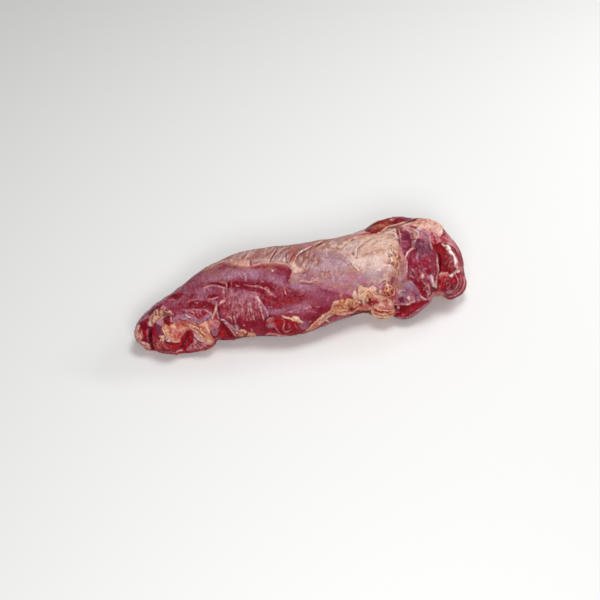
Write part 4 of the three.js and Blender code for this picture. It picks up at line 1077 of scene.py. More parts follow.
# membranes right of the cleft
area("brick/pink", [(192.4, 331.8), (195, 332.2), (197.4, 336.4), (201, 339.6), (205, 342.8), (208.4, 345), (205, 349), (197, 350.6), (189, 351), (186, 350), (190.4, 345.4), (193.6, 341), (193.8, 336)], soft=1.2, rough=0.8, a=0.95)
spot("mauve/pink", 197, 338, 2.4, 3, -30, a=0.6)
line("pale", [(194.4, 333.4), (196, 336.5), (198.4, 339), (201.4, 340.6), (204, 342.4)], 1.3, a=0.85, h=0.5)
line("white", [(194, 339), (195.2, 342), (196.6, 345)], 1.0, a=0.7, h=0.4)
line("blush", [(192.8, 342.4), (193.8, 345.6), (195.2, 348.2)], 0.9, a=0.6, h=0.2)
line("pink", [(199, 343), (201.6, 345.4), (204.6, 346.2)], 1.0, a=0.7, h=0.2)
line("blush", [(198.4, 336), (201.6, 338), (203.4, 340.4)], 0.9, a=0.6, h=0.3)
spot("umber", 197.6, 341.2, 1.3, 1.2, hard=0.3, a=0.8, h=-0.5)
spot("dark", 200.6, 337.4, 0.9, 0.9, a=0.6)
spot("cherry/blood", 201, 345.2, 2.0, 1.4, 10, a=0.85, h=-0.3)
spot("cherry", 198.2, 348, 1.8, 1.2, 10, a=0.75, h=-0.3)
spot("blood", 192, 346.6, 1.6, 1.8, 10, a=0.7, h=-0.3)
specks("blush", [(190, 343), (200, 342), (206, 345), (202, 349), (188, 350)], 20, 0.7, 70, a=0.6, h=0.2)
specks("blood", [(190, 343), (200, 342), (206, 345), (202, 349), (188, 350)], 18, 0.8, 71, a=0.6, h=-0.2)
line("brick", [(184, 351), (192, 350.6), (199, 350), (206, 348)], 2.0, a=0.6)
spot("brick/wine", 218, 345, 8, 4, -4, a=0.6)

spot("brick/muscle", 158, 331, 2.4, 3.6, 0, a=0.4)
# -- right of the tail
area("rose/salmon", [(207.6, 321), (212, 319.3), (216, 318.8), (219, 320.4), (220.1, 323.5), (219, 326.6), (216, 328.6), (212.4, 328.6), (210.4, 326)], soft=1.2, rough=0.9, h=0.5)
area("brick/pink", [(210, 322), (214, 321), (218, 322), (218.6, 325), (216, 327.4), (212, 327)], soft=2.0, rough=0.9, a=0.6)
specks("blush", [(209, 320), (218, 320), (219, 326), (212, 328)], 16, 0.8, 72, a=0.55, h=0.2)
spot("shell", 211, 321.4, 1.6, 1.2, 0, a=0.6)
area("mauve/slate", [(211.3, 328.6), (215, 327.8), (218.7, 328.6), (218.2, 331.4), (215.2, 334.4), (213, 336), (211.3, 333.4)], soft=1.4, rough=0.7)
spot("plum/wine", 214, 330.4, 2, 1.4, 0, a=0.5)
line("pink", [(213, 334.6), (215.6, 335), (218, 333)], 0.9, a=0.6)
line("dark", [(211.2, 330), (211.4, 334), (213.4, 337), (215.2, 339.2)], 1.0, a=0.75, h=-0.6)
line("ivory", [(216.8, 303.6), (216, 308), (214.8, 312), (213.2, 316), (212, 319.6)], 1.7, a=0.95, h=0.8)
line("salmon", [(215, 308.6), (213.8, 313), (212.2, 317)], 0.8, a=0.5, h=-0.2)
line("blush", [(217, 309), (217.2, 313), (218, 316.4), (219, 319.4)], 1.2, a=0.8, h=0.4)
line("dark", [(217.8, 304.8), (218.4, 309), (218.9, 313), (219.8, 316.8), (220.9, 319.6)], 1.1, a=0.95, h=-1.3, hw=2.0)
spot("haze", 216.4, 302.8, 1.0, 1.4, 0, a=0.7)
area("blush/shell", [(219, 304.6), (220.6, 302), (222.3, 299.9), (224.2, 300.3), (224.2, 302.3), (222, 303.3), (220.4, 305)], soft=1.0, rough=0.6, h=0.5)
line("blush", [(217, 306), (219, 304.6)], 0.9, a=0.6, h=0.2)
area("blood/cherry", [(221, 320.8), (224, 322.3), (228, 326.4), (231.2, 331), (234.2, 334), (236.3, 336.7), (233, 338.4), (226, 339), (221, 340), (216.5, 342), (214.3, 340), (216.8, 337), (218.5, 333.5), (220, 329), (221, 325)], soft=1.2, rough=0.7, h=-0.6, rim=3)
area("scarlet/cherry", [(220.6, 327), (223, 330), (226, 334), (227, 337), (221, 338.4), (216, 340), (216.8, 336.4), (219.4, 332)], soft=1.8, rough=0.7, a=0.85)
line("dark", [(224.6, 326.4), (227, 330), (230, 334), (232, 337)], 2.0, a=0.7, h=-0.9)
line("cherry", [(224.2, 323), (227.4, 326.4), (230.6, 330.4), (234, 335.4)], 1.5, a=0.8, h=0.4)
line("dark", [(222, 322.4), (222.6, 326), (222, 330)], 1.2, a=0.45, h=-0.4)
specks("dark", [(219, 330), (226, 331), (229, 337), (216, 340)], 12, 0.8, 73, a=0.4)
line("pink", [(214.6, 339.6), (217, 338.4), (220.6, 337.8)], 0.9, a=0.5, h=0.2)
line("haze/pale", [(220.8, 319.4), (224, 320.2), (227.2, 322.8), (231, 326.3), (234, 329.3), (236.4, 331.6)], 1.5, a=0.9, h=0.7, taper=0.5)
line("blush", [(222.6, 321.4), (226, 323.6), (229.6, 327.4), (232.6, 331.4), (235, 334.6), (237, 336.4)], 1.2, a=0.8, h=0.5)
line("slate", [(226, 320.8), (229.6, 323.8), (233, 327.4)], 1.0, a=0.5)
line("blush", [(225.4, 317.8), (228, 316.5), (230.5, 317.6), (232, 320.5), (232.4, 324)], 0.9, a=0.8, h=0.3)
line("pink", [(224.6, 319.2), (227.4, 318.6), (229.6, 320.6)], 0.8, a=0.4)
line("maroon", [(231.8, 311.6), (232.4, 316), (232.6, 321), (232.8, 326)], 1.1, a=0.75, h=-0.4)
line("pink", [(234.4, 315), (235, 319.4), (235.8, 324)], 0.9, a=0.6, h=0.2)
spot("haze/pearl", 236.4, 327.6, 2.4, 2.8, -30, a=0.8, h=0.3)
spot("dark", 234.8, 327.4, 0.8, 1.4, -20, a=0.7)
line("blush", [(235.8, 327.6), (237.2, 329.4), (238.8, 331.4)], 1.2, a=0.8, h=0.3)

# -- fat along the middle: strip, ruffle and lump
area("maroon/plum", [(351, 313.6), (357, 310.3), (362, 309), (368, 309.6), (371.6, 308.6), (373, 314), (379, 317.6), (368, 317), (358, 316), (351.6, 316)], soft=1.4, rough=0.6, h=-0.8, rim=3)
spot("black", 366, 312.2, 3.6, 1.5, 4, a=0.7)
spot("mauve/plum", 359, 313, 5, 1.2, -6, a=0.5)
line("brick", [(352, 315.4), (360, 313.6), (368, 313.8), (374, 316.6)], 1.2, a=0.5)
area("apricot/butter", [(332.4, 303.8), (335, 301.2), (338, 300.6), (341, 300), (343, 298.8), (345.6, 299.8), (347.4, 298.6), (350, 298.4), (352.2, 299.2), (354, 298.6), (357, 298.8), (359, 300.5), (362, 303), (366, 304.5), (369.4, 306.5), (371.3, 309.2), (365, 309.8), (360, 309.3), (356, 311.3), (352, 312.8), (347, 314.8), (342, 315.4), (337, 315.4), (333, 314.8), (330.3, 315.6), (327.8, 318), (326.2, 320.6), (323, 322.8), (320, 325.4), (315, 327.8), (310, 330.2), (305.6, 331.4), (309.8, 327), (312.8, 323.4), (316.8, 320.4), (319.3, 317), (321.3, 315), (326, 313), (329, 311), (330.6, 308.3), (331.4, 305.4)], soft=0.8, rough=0.9, h=1.2, rim=2.2)
spot("tan/sand", 334, 307, 2.2, 4, 18, a=0.8)
spot("ivory", 335.4, 302.8, 2.4, 1.6, -20, a=0.7)
spot("apricot/ochre", 341.6, 305, 4.4, 2.4, -6, a=0.85)
spot("ochre/apricot", 340, 310, 5.4, 2.4, -10, a=0.8)
spot("apricot/butter", 348, 304.6, 3.4, 2, 0, a=0.7)
spot("rust/apricot", 349, 307.4, 5.4, 2.2, -8, a=0.85)
spot("rust/ember", 353, 308.6, 4.6, 1.9, -8, a=0.9)
spot("apricot", 358, 303.4, 3.6, 1.8, 10, a=0.7)
spot("apricot", 346, 311.6, 3.6, 1.8, -14, a=0.7)
area("salmon/shell", [(334, 313.4), (338, 312.6), (343, 313.2), (348, 312.8), (352, 311.6), (355, 310.6), (352, 312.9), (347, 314.8), (342, 315.4), (337, 315.2)], soft=0.9, rough=0.6, a=0.9, h=0.4)
line("cream", [(337, 313.8), (341, 314.2), (345, 314), (349, 313), (352.6, 311.6)], 1.0, a=0.6, h=0.4)
line("cream", [(333.4, 302.8), (336, 301.4), (339, 301)], 1.3, a=0.85, h=0.4)
for x, y, r in ((342.4, 300.4, 1.7), (347.6, 300.2, 1.6), (351.2, 299.8, 1.4), (355.4, 300.4, 1.7), (358, 302.2, 1.4), (345.2, 303.4, 1.4), (350.6, 303, 1.5), (354.2, 304, 1.4), (347.6, 307.2, 1.5), (344.6, 307.4, 1.3), (351.6, 305.8, 1.2)):
    spot("butter/cream", x, y, r * 0.85, r * 0.7, hard=0.3, a=0.8, h=0.7)
for x, y, r in ((345.2, 301, 0.8), (349.4, 301.4, 0.8), (353.3, 301.4, 0.8), (336.2, 305.4, 1.2), (338.4, 307.2, 1.1), (341.2, 305.6, 0.9), (344.4, 302.4, 0.9), (343, 308.6, 0.9), (348.8, 305.4, 0.9), (352.8, 303.6, 0.9), (346.4, 309.4, 1.0), (340.2, 302.8, 0.8), (356.6, 303.6, 1.0)):
    spot("rust/ember", x, y, r * 1.2, r * 0.8, hard=0.3, a=0.85, h=-0.7)
line("ember", [(334.6, 306), (337.4, 305), (340, 305.8)], 0.9, a=0.6, h=-0.5)
spot("scarlet/rust", 355.6, 306.6, 3.2, 1.8, -10, a=0.85, h=-0.3)
spot("scarlet/ember", 360.8, 304.6, 3.0, 2.6, -10, a=0.9)
spot("salmon/scarlet", 363.6, 306.8, 4.6, 1.8, 8, a=0.8)
spot("salmon/pink", 367.6, 306.4, 2.4, 1.6, 20, a=0.7)
spot("maroon/dark", 352, 309.4, 2.4, 1.7, -24, hard=0.3, a=0.95, h=-1.0)
spot("maroon", 348.8, 308.8, 1.3, 1.0, hard=0.2, a=0.85, h=-0.6)
spot("rust/ember", 344.6, 311.4, 1.8, 0.9, -20, a=0.85, h=-0.5)
spot("ember", 348.8, 311.2, 1.8, 0.9, -20, a=0.75, h=-0.5)
spot("ember", 356.6, 309.4, 1.6, 1.0, -20, a=0.75, h=-0.5)
line("butter", [(341, 308.4), (344, 309.8), (347, 309), (349.4, 307.2)], 0.9, a=0.6, h=0.5)
specks("rust", [(334, 304), (346, 301), (360, 302), (356, 309), (344, 312), (334, 311)], 34, 0.9, 87, a=0.6, h=-0.4)
specks("butter", [(334, 303), (346, 300), (360, 301), (356, 307), (344, 310), (334, 310)], 24, 0.8, 88, a=0.6, h=0.4)
line("cream", [(337.6, 309.8), (341, 310.8), (344.4, 310), (347.6, 310.6)], 0.9, a=0.6, h=0.4)
line("cream", [(353.6, 307.6), (356, 305.4), (358.6, 304.2)], 1.0, a=0.7, h=0.5)
line("shell", [(354.4, 310.8), (357.6, 308.6), (361.6, 308.4)], 1.0, a=0.7, h=0.4)
line("brown", [(326.6, 313.6), (330, 313.5), (333.4, 314), (337, 314.9), (341, 315.4), (345.6, 315.4)], 0.8, a=0.8, h=-0.5)
area("shell/sand", [(326, 313.8), (330, 314.2), (333.4, 314.8), (331, 316.2), (328, 317.6), (325, 320), (321, 323.4), (317.6, 325.4), (318.6, 322), (320, 318.6), (322.4, 315.8)], soft=1.0, rough=0.6, a=0.85, h=0.3)
line("ivory", [(330.4, 315), (327, 317.2), (323.6, 320.2), (320, 324)], 1.2, a=0.8, h=0.4)
line("brown", [(327.8, 315.2), (324.4, 317.4), (321, 321)], 0.8, a=0.5, h=-0.3)
line("cream", [(311, 327), (314.4, 323.6), (317.6, 321.2), (320.4, 317.8), (323, 315.4)], 1.1, a=0.7, h=0.4)
line("rust", [(314, 325), (317.8, 322), (320.6, 319.4)], 0.9, a=0.6, h=-0.4)
spot("salmon/scarlet", 314.6, 327, 5, 1.6, -28, a=0.75)
spot("scarlet/ember", 321.4, 324, 2.6, 1.2, -30, a=0.7, h=-0.3)
line("blush", [(310, 330), (315, 327.6), (319.6, 325.6)], 1.0, a=0.6, h=0.3)
area("brick/muscle", [(322, 324.6), (326, 321), (329, 317.8), (331, 316.4), (336, 315.8), (343, 316), (350, 314.6), (352, 315.4), (344, 318.6), (336, 321.6), (329, 324.4), (322, 327.6)], soft=1.2, rough=0.6, h=-0.4, a=0.9)
for k in range(5):
    line("pink", [(331 + 3.4 * k, 320.8 - k * 0.6), (333.4 + 3.4 * k, 318.6 - k * 0.6), (336 + 3.4 * k, 316.9 - k * 0.5)], 0.8, a=0.5, h=0.2)
line("white", [(326.2, 319.4), (327.6, 321), (329.8, 322.4)], 1.1, a=0.7, h=0.3)
line("blush/pink", [(318, 328.6), (326, 325), (334, 321.6), (342, 318.8), (350, 316)], 1.0, a=0.6, h=0.2)
# the pink finger above the strip
area("salmon/rose", [(339.6, 294.4), (340.8, 291.8), (342, 293.4), (342.4, 296), (343.8, 299), (341.6, 299.8), (340, 298.6)], soft=0.9, rough=0.4, h=0.4)
line("blush", [(340.8, 292.6), (341.4, 295.6), (342.2, 298)], 0.8, a=0.5, h=0.2)
spot("cherry/muscle", 347.4, 296, 4, 2, 24, a=0.55)
# ruffle
area("cream/shell", [(352.3, 295.6), (353.2, 292.6), (355, 290.8), (356.4, 291.8), (357.2, 293.6), (358.2, 290.6), (358.8, 287.4), (360.2, 284.6), (362, 286), (364.4, 287), (366.4, 288), (370, 287.4), (373, 285.8), (375.2, 287), (376.8, 289.6), (377.8, 291.6), (380.6, 290.4), (382.4, 291.8), (383.2, 294), (384.9, 296), (386.6, 298.4), (384.6, 301), (380, 302.4), (378, 303.9), (374, 303.4), (371, 304.4), (368, 301.4), (366, 304.4), (362, 303.9), (359, 302.9), (356.7, 300.4), (354.1, 298.6)], soft=0.8, rough=0.5, h=1.9, rim=2.6)
spot("cream", 368, 289.6, 8, 1.8, 0, a=0.8)
spot("gold/cream", 365, 294.6, 4, 3.4, 0, a=0.7)
spot("ochre/butter", 362.6, 291.6, 2.2, 1.6, 0, a=0.8, h=-0.3)
spot("butter", 362.8, 295.6, 1.6, 2.2, 0, a=0.5)
spot("tan", 357.4, 293.6, 0.8, 1.8, 10, a=0.7, h=-0.8)
# painted highlights on the ruffle's folds
line("white", [(370, 288), (372.6, 286.4), (375, 287.8), (376.6, 290.4)], 1.2, a=0.75, h=0.3)
line("white", [(353.4, 293.4), (355, 291.6), (355.6, 294)], 1.6, a=0.8, h=0.4)
spot("ivory", 354.6, 297, 1.8, 1.4, 0, a=0.7)
line("cream", [(358.8, 289.6), (360.4, 286.4), (362.8, 287.4), (366, 288.8)], 1.4, a=0.8, h=0.4)
line("cream", [(359.4, 293), (359.2, 296.6), (360, 299.6)], 1.3, a=0.75, h=0.7)
line("brown", [(357.4, 297.4), (358.6, 299.4), (359.6, 301.6)], 0.9, a=0.6, h=-0.5)
area("apricot/salmon", [(366.6, 292.6), (368.6, 291.2), (371.4, 292.6), (374.6, 296), (378.4, 298.6), (380.6, 301.4), (377, 303), (372.8, 300.4), (369.6, 299.6), (367.2, 297)], soft=1.6, rough=0.9, a=0.85)
line("rust", [(367, 294), (368.2, 297), (369, 300)], 0.9, a=0.7, h=-0.6)
line("apricot", [(365.2, 295.6), (366.2, 299), (366.8, 302)], 1.0, a=0.8, h=-0.5)
line("cream", [(368.4, 292.6), (369.8, 295.4), (371.6, 298)], 0.9, a=0.65, h=0.5)
line("cream", [(371.4, 291.6), (373.6, 294.4), (376.4, 296.8), (378.6, 299.4)], 1.1, a=0.7, h=0.5)
line("salmon", [(373.6, 292), (376.6, 294.6), (379, 297.4)], 0.9, a=0.7, h=-0.4)
line("cream", [(375.4, 292.4), (378.6, 295), (381, 298)], 1.0, a=0.65, h=0.4)
area("maroon/ember", [(368, 301.4), (368.8, 298.8), (370.4, 298.2), (371.4, 300.4), (371.8, 302.6), (370.6, 304.8), (368.8, 304.4)], soft=0.9, rough=0.5, h=-1.4)
area("brick/cherry", [(371.8, 301.2), (374, 300.6), (377, 300.8), (379, 302), (377.6, 303.8), (374.6, 304), (372, 303.4)], soft=1.0, rough=0.6, h=-0.6, a=0.9)
line("ivory", [(362.4, 298), (363, 301), (364.6, 303.6)], 1.8, a=0.85, h=0.8)
line("rust", [(360.6, 299.4), (361.4, 302), (362.4, 304.4)], 0.9, a=0.85, h=-0.8)
spot("ember", 365.8, 302.4, 0.9, 1.8, -14, a=0.7, h=-0.7)
line("dark", [(376.2, 290), (377.2, 292), (378.6, 293.6), (380.4, 295.4)], 0.9, a=0.7, h=-0.7)
line("white", [(378.4, 291.2), (380.6, 290.8), (382.4, 292.6), (383.6, 295), (385.4, 297), (387, 298.8)], 1.1, a=0.85, h=0.5)
line("brown", [(380, 293), (381.6, 295.2), (383, 297.6)], 0.8, a=0.6, h=-0.4)
spot("cream/apricot", 376.4, 296, 2.8, 2.2, 0, a=0.45)
# lump
area("apricot/salmon", [(371.5, 308), (372.2, 305.3), (375, 304), (379, 303), (382, 301), (386, 299), (390, 299.4), (393.2, 302.3), (394.8, 306), (396, 310.5), (394.8, 314.2), (391, 317.1), (386, 317.9), (379, 317.5), (374.4, 316), (371.8, 312.7)], soft=0.8, rough=0.6, h=2.0, rim=2.6)
spot("salmon/shell", 377, 305.4, 3.4, 2.0, -10, a=0.85)
spot("cream", 381.6, 303.6, 2.4, 2.0, -20, a=0.9, h=0.4)
# painted highlight on the lump
line("white", [(379.6, 303.4), (381, 305), (382.8, 306.4)], 0.9, a=0.7, h=0.3)
spot("rust/apricot", 385.6, 304.4, 2.2, 2.4, -10, a=0.85, h=-0.4)
area("cream/shell", [(386.4, 298.8), (388.6, 298), (391, 300.4), (392.6, 303.4), (392.4, 305.4), (389.6, 305), (387.8, 303)], soft=0.9, rough=0.6, h=0.6)
line("rust", [(386.6, 299.4), (387.4, 302), (389, 304.8)], 0.8, a=0.7, h=-0.5)
spot("pink/brick", 389, 307.6, 3.0, 1.8, 0, a=0.85)
spot("brick/salmon", 383.6, 308.4, 3, 1.4, 10, a=0.5)
spot("salmon/shell", 383.6, 306.6, 2.8, 1.2, 10, a=0.7)
spot("shell/cream", 384.4, 306.8, 2.2, 1.3, 10, a=0.45)
line("cream", [(373.6, 307.4), (377.6, 308.8), (382, 310.4), (386.6, 311.2), (391, 310)], 1.1, a=0.85, h=0.7)
line("rust", [(374, 309.8), (378, 311.4), (382, 312.4), (386.6, 312.6), (390.4, 311.6)], 1.1, a=0.9, h=-0.9)
line("cream", [(373.6, 311.6), (377, 313), (381.6, 314.2), (386.4, 314.4), (391, 312.8)], 1.1, a=0.8, h=0.6)
line("ember", [(374.6, 313.6), (378.4, 315), (382.6, 315.6)], 0.9, a=0.8, h=-0.7)
line("rust", [(384, 315.4), (388, 315.2), (391.6, 313.8)], 0.8, a=0.7, h=-0.5)
line("butter", [(376, 315), (380.6, 316.4), (385.6, 316.6), (390, 315.6)], 1.1, a=0.85, h=0.4)
spot("ochre/butter", 384.6, 313.6, 2.6, 0.9, 0, a=0.6)
spot("maroon", 382.6, 311.8, 1.1, 0.8, hard=0.4, a=0.9, h=-0.7)
spot("ember", 375.6, 311, 0.9, 1.6, -10, a=0.8, h=-0.6)
line("apricot", [(376, 307.2), (380, 308.2), (384, 309.6)], 0.9, a=0.7, h=-0.4)
line("brick", [(386.6, 308.6), (389.6, 309.4), (392, 308.4)], 0.9, a=0.7, h=-0.4)
line("cream", [(372.5, 305.6), (371.9, 308.6), (372.4, 312), (374.4, 315), (378, 316.8), (384, 317.6), (390, 316.9), (393.4, 315.2)], 1.1, a=0.9, h=0.4)
line("cream", [(391.6, 304.4), (393.6, 307), (394.2, 309.6), (392.6, 312.6)], 1.0, a=0.75, h=0.5)
line("blush", [(387, 303.4), (389.6, 304.8), (391.6, 307)], 0.8, a=0.5, h=0.3)
line("ember", [(395, 308), (395.4, 311), (394, 313.6)], 0.9, a=0.6, h=-0.4)
# crumbly fat above the lump
area("rust/apricot", [(385.2, 282.4), (387.4, 280.8), (389.4, 284), (391.3, 286.4), (393.3, 287.6), (394.8, 291), (394.3, 295), (391.4, 298), (388, 298.4), (385, 297.4), (382.8, 294.5), (381.3, 293.4), (382.7, 290.4), (384.7, 287.9), (385.6, 285)], soft=0.9, rough=1.0, h=1.0, rim=2)
line("cream", [(388, 271.4), (387.4, 275), (386.6, 278.6), (386.6, 281)], 1.8, a=0.75, h=0.6)
spot("white", 387.2, 285.2, 1.5, 1.2, hard=0.3, a=0.9, h=0.5)
spot("ivory", 386.4, 282.6, 1.2, 1.6, a=0.6, h=0.3)
for x, y in ((383.4, 282), (385.2, 281), (384.2, 284.4), (389, 282.6)):
    spot("brown", x, y, 0.8, 0.7, hard=0.4, a=0.8, h=-0.4)
line("cream", [(388, 287), (388.8, 288.8), (387.8, 290.6), (385.8, 291)], 0.9, a=0.9, h=0.5)
line("cream", [(390, 285.6), (392, 287), (392.6, 289)], 0.8, a=0.6, h=0.4)
line("cream", [(394, 288.6), (394.6, 291.6), (393.6, 294.4), (391, 295.6)], 1.0, a=0.85, h=0.4)
line("butter", [(384.8, 289), (384.2, 291.2), (382.6, 292.6)], 0.8, a=0.6, h=0.3)
for x, y, r in ((386, 293.4, 1.5), (389.8, 293.8, 1.4), (383.8, 291, 1.0), (391.4, 289.4, 1.2), (387.4, 296.2, 1.3), (390.2, 296.6, 1.0)):
    spot("apricot", x, y, r, r * 0.8, hard=0.3, a=0.85, h=0.5)
for x, y, r in ((384.2, 292.8, 1.0), (387.4, 292, 1.0), (383.2, 295.2, 0.9), (388.6, 295, 1.1), (391.4, 291.6, 1.0), (390, 287.8, 0.9), (385.6, 295.6, 0.9), (389.6, 298, 1.0), (386.4, 288.4, 0.8), (392.6, 293, 0.8)):
    spot("maroon", x, y, r, r * 0.8, hard=0.3, a=0.85, h=-0.7)
spot("wine/plum", 392, 280, 1.6, 4.0, 8, a=0.6, h=-0.4)
spot("plum/wine", 383.4, 287.4, 1.4, 2.4, 20, a=0.5)
area("salmon/pink", [(395, 287), (397.6, 288), (398.4, 293), (398, 299), (397, 303), (395, 302), (394.6, 296), (395.4, 291)], soft=1.2, rough=0.7, h=-0.3)
line("brick", [(394.8, 288), (395.6, 293), (395.2, 298), (394.8, 302)], 1.2, a=0.7, h=-0.3)
line("blush", [(393.6, 299), (394.4, 302), (395.2, 305)], 0.8, a=0.7, h=0.3)
area("plum/maroon", [(394.6, 303.6), (397, 302.6), (399.4, 304), (399.2, 308), (397.6, 311.6), (395.6, 309.6)], soft=1.0, rough=0.6, h=-0.6)
spot("dark", 396.6, 307.2, 1.3, 2.0, -20, a=0.7, h=-0.5)
line("blush", [(394.6, 304.6), (397, 304.4), (400, 305)], 0.8, a=0.6)
spot("dark", 394.8, 315.8, 2.0, 1.2, -30, a=0.7, h=-0.4)
line("blush", [(393.6, 313.6), (396, 312.2), (398.6, 312.4)], 0.8, a=0.6, h=0.2)
spot("brick", 386, 320, 10, 2, 0, a=0.4)
# -- head: straps and caps along its back
area("maroon/blood", [(364, 230.6), (367, 227.4), (371, 224), (376, 220.4), (382, 217), (388, 214), (396, 213), (406, 214), (419, 217), (418, 222), (412, 223), (405, 223.4), (401, 227), (401, 236), (401.4, 246), (398.6, 243), (397, 236), (394.4, 231.6), (390, 230.2), (385, 230.8), (379, 232.8), (373, 233.4), (368, 232.8)], soft=1.2, rough=0.6, h=0.6, rim=3)
spot("rust/apricot", 385, 224.6, 8, 2.2, -16, a=0.8)
spot("apricot", 381, 226, 4, 1.4, -24, a=0.5)
spot("rust/maroon", 375, 229.4, 5, 2.4, -26, a=0.7)
spot("dark", 390.6, 222.8, 5, 1.3, -6, a=0.8, h=-0.4)
spot("wine", 400, 219.4, 6, 2.4, 0, a=0.7)
spot("wine/mauve", 411, 219.6, 7, 1.6, 3, a=0.6)
spot("brick", 386, 218.4, 6, 1.6, -20, a=0.5)
spot("pink/blush", 391.6, 219.6, 3, 1.1, -8, a=0.7)
line("gold", [(371.6, 224.4), (375, 222.4), (378.6, 220.6)], 1.1, a=0.7, h=0.4)
line("brick", [(368.6, 229.6), (373, 227), (379, 224.6)], 1.0, a=0.5, h=0.3)
specks("pink", [(388, 216), (402, 217), (416, 219), (412, 221), (398, 222), (386, 222)], 16, 0.8, 40, a=0.4, h=0.15)
area("bone/fawn", [(378, 233), (382, 231.4), (386, 230), (391, 228.6), (395, 228.2), (397, 230.6), (397.6, 235), (398.6, 240), (399, 244), (396, 242), (392, 236), (386, 234)], soft=1.2, rough=0.6, a=0.95, h=0.3)
line("tan", [(380, 232.6), (385, 230.6), (391, 229.2), (395, 229)], 0.9, a=0.5, h=-0.2)
spot("rust/apricot", 376, 226.4, 5, 1.8, -26, a=0.6)
spot("brick/rust", 384, 221.6, 5, 2.0, -18, a=0.6)
line("apricot", [(380.4, 231.2), (385, 228.8), (390, 227.2), (395, 226.2), (398, 225.4)], 1.1, a=0.8, h=0.5, taper=0.5)
line("cream", [(382, 230), (386, 227.6), (391, 225.9), (396, 224.8), (400, 223.4), (404, 222.1), (407.4, 221.8)], 1.0, a=0.75, h=0.4)
line("dark", [(386, 229), (389.6, 227.6), (393, 226.8), (397, 226.2)], 1.0, a=0.7, h=-0.6)
# pink and tan membranes under the line along the back
area("pink/brick", [(397, 227.4), (400, 225.6), (404, 223.8), (410, 223), (417, 221.6), (424, 222), (424, 228), (420, 232), (418.6, 238), (411, 232), (404, 232), (399, 233)], soft=1.4, rough=0.8)
spot("sand/rose", 402, 227.6, 4, 2, -24, a=0.6)
spot("brick", 399, 229, 2, 2.4, 0, a=0.6)
line("umber", [(396, 226), (400, 224.8), (404, 223.6), (408, 223)], 1.2, a=0.8, h=-0.5)
line("ivory", [(402.6, 226.2), (406, 224.6), (410, 223.4), (414, 222.2), (418, 221), (421, 220.2)], 1.8, a=0.85, h=0.7, taper=0.4)
line("ivory", [(403.8, 226.4), (406, 228), (408.4, 230.2), (409.6, 232.6)], 1.6, a=0.7, h=0.5)
line("blush", [(406.6, 226), (409.4, 227.6), (411.6, 229.4)], 1.0, a=0.7, h=0.3)
spot("salmon", 413.6, 225.6, 3, 1.6, 8, a=0.7)
spot("maroon", 415.6, 227.2, 1.2, 1.0, hard=0.4, a=0.9, h=-0.5)
spot("cherry", 412.6, 227, 1.4, 0.8, 10, a=0.5)
area("haze/pale", [(416.6, 227.2), (419, 226), (422.6, 226.4), (423.4, 228.6), (421.4, 230.4), (418, 230.2)], soft=1.4, rough=0.6, h=0.3)
spot("haze", 413.4, 229.6, 2.4, 1.4, 30, a=0.7)
# dark strap between the silverskin and the head
area("umber/wine", [(395.6, 228), (399, 226.8), (402.6, 228), (402, 234), (401.2, 241), (401.8, 247), (399.6, 246), (398.4, 240), (397.4, 234)], soft=1.1, rough=0.6)
spot("plum/maroon", 398.2, 232.4, 1.8, 3.0, 0, a=0.85)
spot("dusk/plum", 399, 239, 1.4, 4, 0, a=0.8)
line("blush", [(398.6, 229.6), (400, 233.6), (400.6, 238), (400.8, 243)], 1.0, a=0.65, h=0.3)
area("plum/wine", [(403.6, 231.6), (405.4, 230.6), (407.6, 232.6), (410, 236.4), (411.6, 241), (411, 246.4), (409.2, 250.3), (406.7, 253.3), (405, 257), (402.8, 253.6), (401.6, 248.4), (401.2, 242), (401.7, 236.6)], soft=1.0, rough=0.5, h=-0.5, rim=2.4)
area("wine/muscle", [(402, 239.4), (406, 239), (410.4, 240.4), (410.4, 246), (407.6, 250.6), (404.6, 254), (402.6, 249), (401.8, 243)], soft=2.2, rough=0.8, a=0.85)
spot("plum", 405.6, 235.4, 3.4, 3.2, 20, a=0.6)
line("pink", [(402.4, 241.4), (405, 241.2), (407.4, 241.6)], 0.8, a=0.55)
line("pink", [(402.6, 247.2), (405, 246.8), (407, 247.2)], 0.8, a=0.45)
line("pink", [(403, 249.6), (405.4, 249.4)], 0.8, a=0.4)
line("dark", [(410.8, 240), (410.8, 244), (409.2, 248), (407.4, 251)], 1.1, a=0.6, h=-0.5)
line("pink", [(401.2, 236), (400.9, 242), (401.4, 248), (402.6, 253)], 0.9, a=0.6, h=0.2)
# the tan piece beside it
area("tan/rose", [(410, 230.6), (413, 229.4), (416.4, 230.2), (417.8, 233.4), (417, 237), (415.4, 241), (414.4, 245.4), (412.4, 248), (411.8, 243), (411.6, 238), (410.4, 234.4)], soft=1.0, rough=0.8, h=0.8, rim=2)
spot("umber/slate", 413, 243, 1.6, 4.4, 6, a=0.7)
line("umber", [(410.8, 231.6), (412, 233), (412.6, 235.4), (412.4, 237.4)], 1.1, a=0.75, h=-0.6)
line("brown", [(413.4, 234.6), (415, 236), (415.4, 238)], 0.9, a=0.5, h=-0.4)
